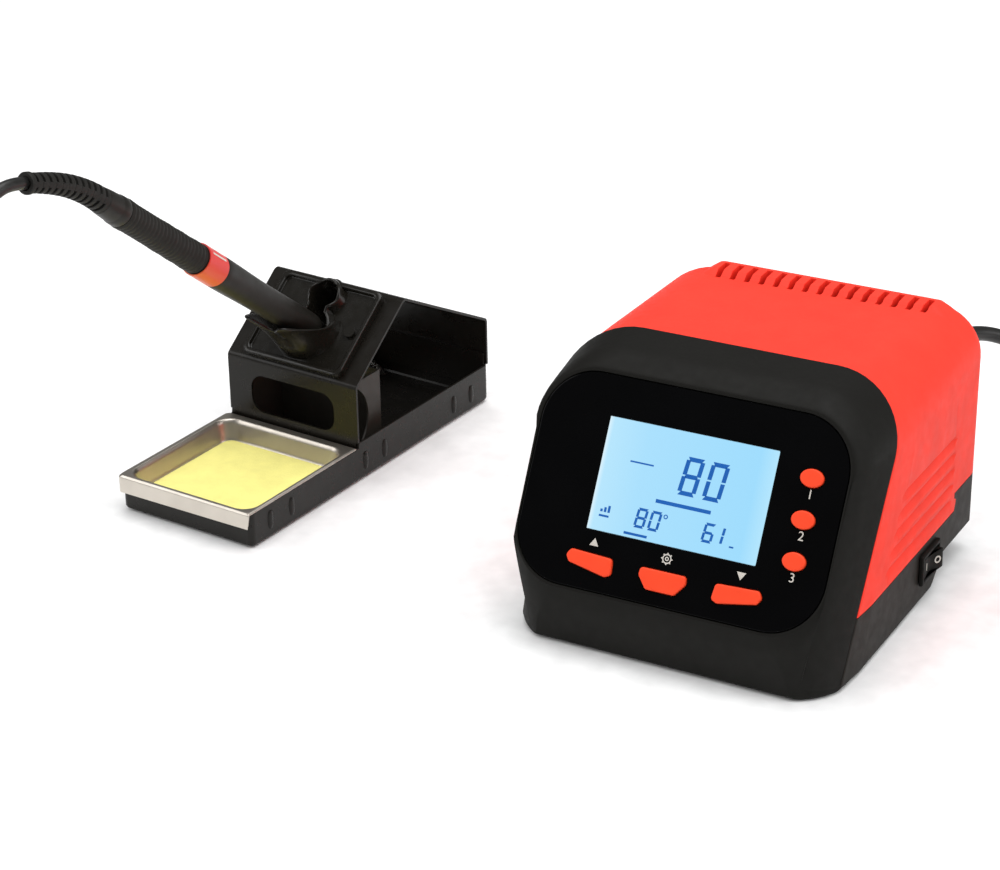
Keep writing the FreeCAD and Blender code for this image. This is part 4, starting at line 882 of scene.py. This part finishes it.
def add_display():
    keep("lcd_window", lcd_material(), 0.1)
    bm = bmesh.new()
    top = FACE - 0.02
    for k, char in enumerate("80"):
        digit(bm, char, -2.2 + 11.4 * k, 68.0, 8.4, 16.5, 1.9, top)
        digit(bm, char, -18.4 + 6.4 * k, 50.5, 5.0, 8.6, 1.15, top)
    digit(bm, "6", 12.8, 50.7, 5.0, 8.4, 1.15, top)
    digit(bm, "1", 17.4, 50.7, 5.0, 8.4, 1.15, top)
    ring_slab(bm, -4.6, 57.6, 1.0, 0.55, top - 0.12, top)
    for x0, x1, v0, v1 in ((-10.6, 14.8, 62.6, 64.2), (-21.9, -11.1, 46.9, 48.0), (-34.8, -30.2, 51.9, 52.8),
                           (-25.8, -14.9, 77.2, 77.9), (26.0, 28.0, 50.8, 51.5)):
        block(x0, x1, v0, v1, top - 0.12, top, bm)
    for k in range(3):
        block(-34.6 + 1.7 * k, -33.5 + 1.7 * k, 54.0, 55.2 + 0.9 * k, top - 0.12, top, bm)
    piece("lcd_marks", bm, PANEL, LCD_INK, 30, "station", "lcd_glass", edge=None)
    bm = bmesh.new()
    top = FACE + 0.03
    low = FACE - 0.05
    slab([(-36.1, 39.0), (-31.9, 39.0), (-34.0, 42.4)], low, top, bm)
    slab([(31.9, 42.0), (36.1, 42.0), (34.0, 38.6)], low, top, bm)
    ring_slab(bm, 0, 40.5, 2.1, 1.6, low, top)
    ring_slab(bm, 0, 40.5, 0.9, 0.45, low, top)
    for k in range(8):
        a = math.tau * k / 8
        slab(circle(0.3, 8, 2.35 * math.cos(a), 40.5 + 2.35 * math.sin(a)), low, top, bm)
    piece("panel_print", bm, PANEL, INK, 30, "station", "label_print", edge=None)
    for k, v in enumerate((79.4, 61.8, 44.2)):
        data = bpy.data.curves.new("numeral", "FONT")
        data.body, data.size, data.extrude = str(k + 1), 5.6, 0.04
        data.align_x, data.align_y = "CENTER", "CENTER"
        text = linked("numeral", data)
        mesh = evaluated_mesh(text)
        bpy.data.objects.remove(text)
        bm = bmesh.new()
        bm.from_mesh(mesh)
        bmesh.ops.remove_doubles(bm, verts=bm.verts, dist=0.001)
        bmesh.ops.translate(bm, verts=bm.verts, vec=(56.0, v, FACE))
        piece(f"numeral_{k + 1}", bm, PANEL, INK, 30, "station", "label_print", edge=None)


# ---------------------------------------------------------------- power switch
ROCKER_CROWN, ROCKER_HOLLOW = 3.6, 1.75              # face from the pivot at its ends, and how deep its valley is


def rocker_face(y):
    return ROCKER_CROWN - ROCKER_HOLLOW * math.cos(math.pi / 2 * y / 8) ** 2


def add_switch():
    side = UNIT @ move(0, SWITCH_Y, SWITCH_Z) @ SIDEWAYS
    wall = UNIT_HALF - 0.5
    flange, pocket, body = (corners_of(-x, x, -y, y) for x, y in ((10.7, 7.4), (8.9, 5.2), (9.4, 6.2)))
    sections = [(body, 0.5, wall - 17), (body, 0.5, wall - 0.05), (flange, 1.0, wall), (flange, 1.0, wall + 1.3),
                (grown(flange, -0.6), 1.0, wall + 1.9), (grown(pocket, 0.5), 0.6, wall + 1.9),
                (pocket, 0.5, wall + 1.4), (pocket, 0.5, wall - 8.5)]
    housing = loft([at_height(rounded(p, r), z) for p, r, z in sections])
    piece("switch_frame", housing, side, BLACK, 35, "station", "black_plastic", "switch_housing", edge=0.15)
    # rocker: two hollow faces that meet in a valley, turned so that the front half is pressed in
    face = [(rocker_face(y), y) for y in range(-8, 9)]
    belly = [(-1.6, 7.2), (-4.4, 2.2), (-4.4, -2.2), (-1.6, -7.2)]
    plan = rounded(face + belly, 0.35, 3)
    rocker_at = UNIT @ move(UNIT_HALF - 1.2, SWITCH_Y, SWITCH_Z) @ turn("Z", -11)
    rings = [at_height(grown(plan, -0.45), -4.8), at_height(plan, -4.4), at_height(plan, 4.4),
             at_height(grown(plan, -0.45), 4.8)]
    piece("rocker", loft(soft_rings(rings, [0.3, 0.3], 3)), rocker_at, BLACK, 50, "power_rocker_body",
          "black_plastic", "power_rocker")
    bm = bmesh.new()
    out = rocker_at @ turn("Y", 90)
    # on this side local x is up the switch and local z points out of it
    on_mark, off_mark = bmesh.new(), bmesh.new()
    block(-1.7, 1.7, -0.32, 0.32, 0, 0.25, on_mark)
    ring_slab(off_mark, 0, 0, 1.75, 1.1, 0, 0.25)
    for part, y in ((on_mark, -4.6), (off_mark, 4.6)):
        lean = math.atan(ROCKER_HOLLOW * math.pi / 16 * math.sin(math.pi * y / 8))
        part.transform(move(0, y, rocker_face(y) - 0.1) @ turn("X", math.degrees(lean)))
        add_mesh(bm, part)
    piece("rocker_marks", bm, out, INK, 30, "power_rocker_body", "label_print", edge=None)


# ================================================================ iron holder
def add_pan():
    """Folded pan with softly rounded corners, a stepped top edge and pairs of small ribs."""

    def plan(inset, r):
        x, y0, y1 = STAND_HALF - inset, inset, STAND_LENGTH - inset
        loop = rounded([(-x, y0), (x, y0), (x, 82.9), (x, 83.4), (x, y1), (-x, y1), (-x, 83.4), (-x, 82.9)], r, 5)
        return loop

    def wall_top(y):
        return 17.9 if y < 83.1 else 20.5

    outer, inner = plan(0, 3.0), plan(SHEET, 1.8)
    edge_out, edge_in = plan(0.3, 2.8), plan(SHEET - 0.3, 2.0)
    rings = [at_height(plan(1.6, 2.0), PAD), at_height(plan(0.45, 2.8), PAD + 0.4), at_height(outer, PAD + 1.5),
             [Vector((x, y, wall_top(y) - 0.3)) for x, y in outer],
             [Vector((x, y, wall_top(y))) for x, y in edge_out], [Vector((x, y, wall_top(y))) for x, y in edge_in],
             [Vector((x, y, wall_top(y) - 0.3)) for x, y in inner], at_height(inner, PAD + SHEET + 0.8),
             at_height(plan(SHEET + 0.8, 1.4), PAD + SHEET)]
    bm = loft(rings)
    for y in (14, 30, 88, 103.5, 162, 177):
        for side in (-1, 1):
            rows = []
            for k in range(9):
                a = math.pi * k / 8 - math.pi / 2
                z = 9.75 + 4.75 * math.sin(a)
                r = max(0.05, math.cos(a) ** 0.5)
                rows.append([Vector((side * (STAND_HALF - 0.2 + 1.15 * r * math.cos(t)), y + 1.9 * r * math.sin(t), z))
                             for t in [math.tau * i / 12 for i in range(12)]])
            loft(rows, bm=bm)
    piece("stand_pan", bm, STAND, PAINT, 40, "station", "black_steel", "stand_base")


def add_tray():
    """Pressed tray: turned-down lip, broad rim, rounded bowl; one sheet with its two faces."""
    top, floor, sheet = 18.8, 7.4, 0.8
    n = 14

    def rim(inset, z_of):
        ring = []
        for x, y in outline(40.0 - inset, -1.7 + inset, 81.2 - inset, 2.2, 2.2, n):
            ring.append(Vector((min(x, 38.9 - inset), y, z_of(x, y))))
        return ring

    def drop(x, y):
        front = clamp((0.4 - y) / 1.6)
        left = clamp((-37.9 - x) / 1.6)
        return max(8.8 * front * clamp((38.9 - x) / 1.2), 4.0 * left, 0.8)

    def bowl_ring(k, grow, z):
        return [Vector((x, y, z)) for x, y in outline(33 + 3 * k + grow, 4 - 2.4 * k - grow, 72.5 + 3 * k + grow,
                                                      7 + k + grow, 7 + k + grow, n)]

    upper = [rim(0.0, lambda x, y: top - drop(x, y)), rim(0.0, lambda x, y: top - min(1.0, drop(x, y) * 0.6)),
             rim(0.9, lambda x, y: top), bowl_ring(1.0, 0.9, top), bowl_ring(0.93, 0.0, top - 1.4),
             bowl_ring(0.12, 0.0, floor + 1.6), bowl_ring(0.0, -1.5, floor)]
    under = [bowl_ring(0.0, -1.5, floor - sheet), bowl_ring(0.12, sheet, floor + 1.2),
             bowl_ring(0.93, sheet, top - 2.0), bowl_ring(1.0, 1.6, top - sheet), rim(0.9, lambda x, y: top - sheet),
             rim(sheet, lambda x, y: top - max(sheet + 0.3, min(1.6, drop(x, y)))),
             rim(sheet, lambda x, y: top - drop(x, y))]
    face = soft_rings(upper, [0.3, 0.6, 0.9, 0.9, 1.4], 4)
    back = soft_rings(under, [1.2, 0.6, 0.5, 0.3, 0.0], 3)
    bm = bmesh.new()
    split = len(face)
    rows = skin(bm, face + back, wrap=True, gap=split - 1)
    bm.faces.new(rows[split - 1])
    bm.faces.new(rows[split][::-1])
    piece("tray_pressing", bm, STAND, STEEL, 50, "tray", "stainless", "sponge_tray")


def sponge_material():
    shader = Shader("cellulose_sponge", (0.86, 0.80, 0.26), 0.85, specular=0.2)
    shader.vary_colour(7.0, 0.95, 1.04).vary_rough(1.2, 0.08)
    return shader.bump(0.9, 0.25, 0.5, detail=6.0).bump(3.5, 0.3, 0.4).material


def add_sponge():
    low, high = 7.5, 9.9
    plan = outline(32.2, 4.8, 71.6, 5, 5, 10)
    rings = [at_height(grown(plan, g), z) for g, z in
             ((-0.35, low), (0.0, low + 0.5), (0.05, low + 1.4), (-0.15, high - 0.35), (-0.6, high),
              (-3.0, high + 0.02))]
    bm = loft(rings)
    for vertex in bm.verts:
        ripple = 0.06 * math.sin(vertex.co.x * 0.31 + 1.3) * math.cos(vertex.co.y * 0.27)
        if vertex.co.z > low + 1:
            vertex.co.z += ripple
    piece("sponge_block", bm, STAND, sponge_material(), 60, "sponge_pad", "sponge", "sponge")


def add_guard():
    """Bent guard behind the front window: the right web has a round cut, the left one is whole."""
    y0, y1, z0 = HOUSE_Y + SHEET + 0.2, HOUSE_Y + 30, PAD + 2 * SHEET + 0.1
    outer, inner = corners_of(-30.5, 30.5, y0, y1), corners_of(-29.5, 29.5, y0 - 5, y1 - 1)
    guard = as_object("window_guard", slab(outer, z0, 46), STAND, GUARD)
    cut_away(guard, slab(inner, z0 + SHEET, 60), STAND, GUARD)
    cut = slab(circle(19, 48), 25, 36)
    cut_away(guard, cut, STAND @ move(0, HOUSE_Y + 1, 27) @ SIDEWAYS, GUARD)
    finished(guard, 30, "station", "grey_steel", "inner_shield", edge=0.15, angle=50)


# ---------------------------------------------------------------- moulded holder
def keyhole_outline(n=20):
    """Plan of the opening: round seat below, smaller lobe above, joined by a neck."""
    r_main, r_top = 9.3, 7.6
    s0, s1 = IRON_ENTRY_S, IRON_ENTRY_S + 17.0
    neck = 0.62 * r_top
    a0, a1 = math.asin(neck / r_main), math.asin(neck / r_top)
    points = []
    for k in range(n + 1):
        a = math.pi / 2 + a0 + (math.tau - 2 * a0) * k / n
        points.append((r_main * math.cos(a), s0 + r_main * math.sin(a)))
    for k in range(n + 1):
        a = -math.pi / 2 + a1 + (math.tau - 2 * a1) * k / n
        points.append((r_top * math.cos(a), s1 + r_top * math.sin(a)))
    return points


def add_holder():
    plan = [(outline(29.5 - i, 1.6 + i, 49.6 - i, 4 - 0.4 * i, 4 - 0.4 * i, 10), h) for i, h in
            ((0.3, 0.05), (0.0, 0.4), (0.0, 3.7), (0.5, 4.2), (2.0, 4.2), (2.5, 3.8), (2.7, 2.5), (3.1, 2.2))]
    plate = as_object("holder_plate", loft([at_height(p, h) for p, h in plan]), PLATE, HOLDER)
    cut_away(plate, slab(keyhole_outline(), -5, 20), PLATE, HOLDER)
    finished(plate, 45, "station", "black_plastic", "iron_holder")
    well = keyhole_outline()
    cup = as_object("holder_well", loft([at_height(grown(well, g), h) for g, h in
                                         ((0.9, -14.0), (1.3, -13.5), (1.3, 1.5), (0.0, 1.5), (0.0, -12.4),
                                          (-0.4, -12.8))]), PLATE, HOLDER)
    bore = shaft([(7.0, -40), (7.0, 2)], 40)
    cut_away(cup, bore, IRON, HOLDER)
    finished(cup, 45, "station", "black_plastic")
    # wall round the opening, higher round the upper lobe, with a softly wavy foot
    rim = keyhole_outline(28)
    count = len(rim)
    sections = []
    for k, (x, s) in enumerate(rim):
        before, after = Vector(rim[k - 1]), Vector(rim[(k + 1) % count])
        t = (after - before).normalized()
        out = Vector((t.y, -t.x))
        up = clamp((s - IRON_ENTRY_S) / 12.0)
        height = 4.6 + 2.2 * up + 0.5 * math.sin(k * 0.9) * up
        foot = 3.0 + 0.6 * math.sin(k * 0.75 + 0.6)
        loop = [(-0.05, 0.3), (-0.05, height - 0.5), (0.35, height), (1.1, height), (1.7, height - 0.8),
                (foot - 0.6, 3.0), (foot + 0.4, 2.1), (foot + 0.4, 0.3)]
        sections.append([Vector((x + out.x * o, s + out.y * o, h)) for o, h in loop])
    piece("holder_wall", ring_body(sections), PLATE, HOLDER, 60, "station", "black_plastic")
    add_scoop()


SCOOP_EDGE = [(-118, 4, 16.0), (-95, 13, 15.0), (-70, 30, 13.6), (-45, 43, 12.8), (-28, 44, 12.2), (-8, 33, 11.2),
              (5, 30, 11.0), (25, 33, 11.4), (45, 31, 12.0), (70, 21, 13.2), (95, 10, 14.6), (118, 4, 15.6)]


def scoop_edge(angle):
    """Length along the iron and radius of the scoop's free edge, this far round from straight below."""
    table = SCOOP_EDGE
    for k in range(len(table) - 1):
        a, b = table[k], table[k + 1]
        if a[0] <= angle <= b[0]:
            before, after = table[max(k - 1, 0)], table[min(k + 2, len(table) - 1)]
            t = (angle - a[0]) / (b[0] - a[0])
            values = []
            for i in (1, 2):
                m0 = (b[i] - before[i]) / (b[0] - before[0]) * (b[0] - a[0])
                m1 = (after[i] - a[i]) / (after[0] - a[0]) * (b[0] - a[0])
                values.append((2 * t ** 3 - 3 * t * t + 1) * a[i] + (t ** 3 - 2 * t * t + t) * m0
                              + (3 * t * t - 2 * t ** 3) * b[i] + (t ** 3 - t * t) * m1)
            return values
    return table[-1][1:]


def add_scoop():
    """Tongue that grows out of the plate under the iron and cups its handle."""
    sections = []
    steps = 64
    for k in range(steps + 1):
        angle = -118 + 236 * k / steps
        reach, edge_r = scoop_edge(angle)
        a = math.radians(angle)
        base_r = 18.6
        foot = 0.246 * base_r * math.cos(a) - 1.5       # just under the plate's face
        outer, inner = [], []
        rows = 12
        for i in range(rows + 1):
            t = i / rows
            w = foot + (reach - foot) * t
            flare = (1 - t) ** 2.2
            r = edge_r + (base_r - edge_r) * flare
            thick = 1.5 + 1.6 * (1 - t)
            outer.append((r, w))
            inner.append((max(r - thick, 8.6 if w > 2 else 8.0), w))
        edge = [(outer[-1][0] - 0.35, reach + 0.45), (inner[-1][0] + 0.35, reach + 0.45)]
        loop = outer + edge + inner[::-1]
        sections.append([Vector((r * math.sin(a), -r * math.cos(a), w)) for r, w in loop])
    piece("holder_scoop", loft(sections), IRON, HOLDER, 60, "station", "black_plastic")


# ================================================================ iron
def add_iron():
    handle = [(3.9, 2.2), (6.0, 2.2), (6.7, 2.6), (7.1, 4), (7.4, 10), (7.5, 16), (7.42, 24), (7.3, 34), (7.22, 45),
              (7.28, 54), (7.45, 63), (7.65, 71), (7.85, 79), (7.95, 85), (7.95, 88.2), (7.6, 89), (7.3, 89),
              (7.3, 105), (5.6, 105), (5.6, 20), (3.9, 20)]
    as_iron("handle_sleeve", handle, HANDLE, "handle_plastic", "handle_front")
    band = [(7.35, 89.1), (7.85, 89.1), (7.97, 89.35), (7.97, 104.6), (7.85, 104.9), (7.35, 104.9)]
    as_iron("colour_band", band, LABEL, "label_print", "label_band")
    bm = bmesh.new()
    for angle, w0, w1, half in ((-150, 92, 101, 3), (-125, 93, 100, 2), (40, 91.5, 102.5, 4), (64, 92, 97, 2.2),
                                (64, 98.5, 102, 2.2), (150, 94, 100, 3)):
        for k in range(2):
            a0 = math.radians(angle - half + k * half)
            a1 = math.radians(angle + k * half)
            pts = [(8.03, a0), (8.03, a1), (7.9, a1), (7.9, a0)]
            loft([[Vector((r * math.cos(a), r * math.sin(a), w)) for r, a in pts] for w in (w0, w1)], bm=bm)
    piece("band_marks", bm, IRON, INK, 30, "iron", "label_print", edge=None)
    # soft sleeve: fine rings over a slowly swelling body
    grip = [(5.7, 105.1)]
    rings = 22
    for k in range(rings):
        along = (k + 0.5) / rings
        swell = 0.42 * math.exp(-((along - 0.10) / 0.09) ** 2) + 0.30 * math.exp(-((along - 0.30) / 0.07) ** 2)
        swell += 0.22 * math.exp(-((along - 0.48) / 0.07) ** 2) + 0.3 * math.exp(-((along - 0.97) / 0.05) ** 2)
        r = 6.95 + swell
        w0 = 105.1 + 61.8 * k / rings
        step = 61.8 / rings
        grip += [(r - 0.30, w0), (r - 0.06, w0 + 0.2 * step), (r, w0 + 0.42 * step), (r - 0.06, w0 + 0.64 * step),
                 (r - 0.30, w0 + 0.84 * step)]
    grip += [(6.9, 166.95), (5.7, 166.95)]
    as_iron("grip", grip, GRIP, "rubber", "grip_sleeve")
    collar = [(5.6, 167.05), (6.7, 167.05), (6.98, 167.6), (7.0, 169.4), (6.95, 171.2), (6.6, 172.2), (6.55, 173),
              (6.5, 174), (6.3, 178), (6.05, 181.6), (5.8, 182), (3.6, 182), (3.6, 177.1), (5.6, 177.1)]
    as_iron("neck_cone", collar, HANDLE, "handle_plastic", "rear_collar")
    add_boot()
    nut = [(3.3, -15), (4.5, -15), (5.1, -14.2), (5.8, -12), (5.8, 1.1), (5.5, 1.4), (3.85, 1.4), (3.85, 12), (3.3, 12)]
    as_iron("heater_nut", nut, BRIGHT, "chrome", "barrel_nut")


def as_iron(name, profile, material, slot, node):
    piece(name, turned(profile, 72), IRON, material, 40, "iron", slot, node)


def label_material():
    """Printed red band with painted shading: deeper red on top, lighter and more orange underneath."""
    shader = Shader("printed_band_painted_shading", (0.62, 0.045, 0.04), 0.34, specular=0.4).vary_rough(4.0, 0.04)
    up = IRON.to_3x3() @ Vector((0, 1, 0))
    middle = up.dot(IRON @ Vector((0, 0, 97)))
    # painted shading: the band's underside is coloured lighter and more orange, its top half deeper red
    stops = ((0.0, (0.72, 0.11, 0.03)), (1.0, (0.62, 0.035, 0.03)))
    return shader.graded(up, middle - 6, middle + 1, stops, "Base Color").material


LABEL = label_material()


def boot_line():
    """Middle line of the strain relief in the iron's frame: straight at first, then drooping."""
    corners = [Vector((0, 0, 182)), Vector((0, 0, 192)), Vector((0, -1.7, 205)), Vector((0, -5.2, 217.5)),
               Vector((0, -9.6, 229)), Vector((0, -10.7, 231.3))]
    line = [corners[0]]
    for before, corner, after in zip(corners, corners[1:], corners[2:]):
        a, b = (before + corner) / 2, (corner + after) / 2
        for k in range(13):
            t = k / 12
            line.append(parabola(a, corner, b, t))
    line.append(corners[-1])
    return line


def along(line, distance):
    for a, b in zip(line, line[1:]):
        run = (b - a).length
        if run > 1e-6 and distance <= run:
            return a + (b - a) * (distance / run), (b - a).normalized()
        distance -= run
    return line[-1], (line[-1] - line[-2]).normalized()


def add_boot():
    line = boot_line()
    total = sum((b - a).length for a, b in zip(line, line[1:]))
    count, n = 12, 48
    rings = []

    def ring(d, r_rib, r_core):
        """Section at distance d: r_core in the slots, r_rib over the two spines at its sides."""
        at, ahead = along(line, d)
        side = Vector((1, 0, 0))
        up = ahead.cross(side)
        points = []
        for i in range(n):
            a = math.tau * i / n
            on_spine = abs(math.cos(a)) > 0.965
            r = r_rib if on_spine else r_core
            points.append(at + (side * math.cos(a) + up * math.sin(a)) * r)
        return points

    usable = total - 2.6
    for k in range(count):
        a, step = 0.05 + usable * k / count, usable / count
        r = 5.9 - 1.55 * k / count
        rings += [ring(a, r - 0.15, r - 0.2), ring(a + 0.08 * step, r, r), ring(a + 0.52 * step, r - 0.05, r - 0.05),
                  ring(a + 0.60 * step, r - 0.1, r - 0.2), ring(a + 0.62 * step, r - 0.1, r - 1.2),
                  ring(a + 0.98 * step, r - 0.15, r - 1.2)]
    rings += [ring(usable + 0.05, 4.6, 4.6), ring(usable + 0.4, 4.9, 4.9), ring(total - 0.5, 4.9, 4.9),
              ring(total, 4.6, 4.6), ring(total, 3.1, 3.1), ring(total - 3.5, 2.85, 2.85)]
    piece("cord_boot", loft(rings), IRON, RUBBER, 40, "iron", "rubber", "strain_relief")


# ================================================================ plug
def add_plug():
    place = UNIT @ move(208.0 - 30.05, 156.7 - 47 + 3.5, 3.5) @ turn("Y", -90)
    sections = [(3.55, 3.55, 0), (3.7, 3.8, 4), (4.1, 4.3, 10), (4.8, 5.4, 18), (5.3, 9.0, 23.5), (6.2, 14.6, 28.5),
                (6.6, 17.2, 33), (6.6, 17.4, 40.2), (6.1, 16.9, 41)]
    rings = []
    for half_thick, half_wide, w in sections:
        radius = 0.7 * min(half_thick, half_wide)
        lift = max(0.0, half_thick + 0.1 - MAINS_D / 2)
        plan = outline(half_thick, -half_wide, half_wide, radius, radius, 8)
        rings.append([Vector((x + lift, y, w)) for x, y in plan])
    plug = piece("plug_body", loft(soft_rings(rings, [1.5] * 7)), place, RUBBER, 40, "station", "rubber", "mains_plug")
    bm = bmesh.new()
    for side in (-1, 1):
        made = shaft([(2.0, 41.02), (2.0, 57.6), (1.75, 59.2), (1.0, 60)], 32)
        for vertex in made.verts:
            vertex.co += Vector((6.7 - MAINS_D / 2, side * 9.4, 0))
        add_mesh(bm, made)
    pins = piece("plug_contacts", bm, place, BRASS, 40, "station", "brass", "plug_pins")
    return plug, pins


# ================================================================ everything that keeps its CAD shape
KEPT = {"unit_feet": (RUBBER, 0.2), "rear_panel": (UNDER_BLACK, 0.3), "mains_gland": (RUBBER, 0.15),
        "iron_socket": (BRIGHT, 0.2), "socket_nut": (DULL, 0.3), "fuse_holder": (BLACK, 0.25), "fuse": (BRIGHT, 0.1),
        "shell_screws": (DULL, 0.15), "power_board": (BOARD, 0.1), "board_pillars": (WHITE, 0.2),
        "board_parts": (BLACK, 0.3), "transformer_core": (CORE, 0.2), "transformer_winding": (TAPE, 0.6),
        "transformer_bracket": (DULL, 0.3), "lcd_glass": (WHITE, 0.1), "lcd_backlight": (WHITE, 0.2),
        "front_board": (BOARD, 0.1), "board_screws": (DULL, 0.15), "tact_switches": (BLACK, 0.15),
        "stand_housing": (PAINT, 0.0), "holder_screws": (HOLDER, 0.2),
        "holder_nuts": (DULL, 0.2), "stand_feet": (RUBBER, 0.2), "core_tube": (DULL, 0.0),
        "heater_barrel": (BRIGHT, 0.0), "heater_element": (CERAMIC, 0.2), "solder_tip": (TIPMETAL, 0.1),
        "cord_ties": (RUBBER, 0.4), "iron_connector": (BLACK, 0.3), "connector_ring": (BRIGHT, 0.25)}

add_bezel()
add_shells()
add_panel()
add_display()
add_switch()
add_pan()
add_tray()
add_sponge()
add_guard()
add_holder()
add_iron()
plug_pieces = add_plug()
for node, (material, edge) in KEPT.items():
    keep(node, material, edge)

line = centre_line(mains_points())


# ================================================================ floor
def add_floor():
    bm = bmesh.new()
    half = 6000.0
    bm.faces.new([bm.verts.new((x, y, -0.05)) for x, y in corners_of(-half, half, -half, half)])
    pale = grained("pale_floor", (0.86, 0.86, 0.86), 0.9, 0.0, 0.1, 30.0)
    floor = as_object("floor", bm, Matrix.Identity(4), pale)


add_floor()
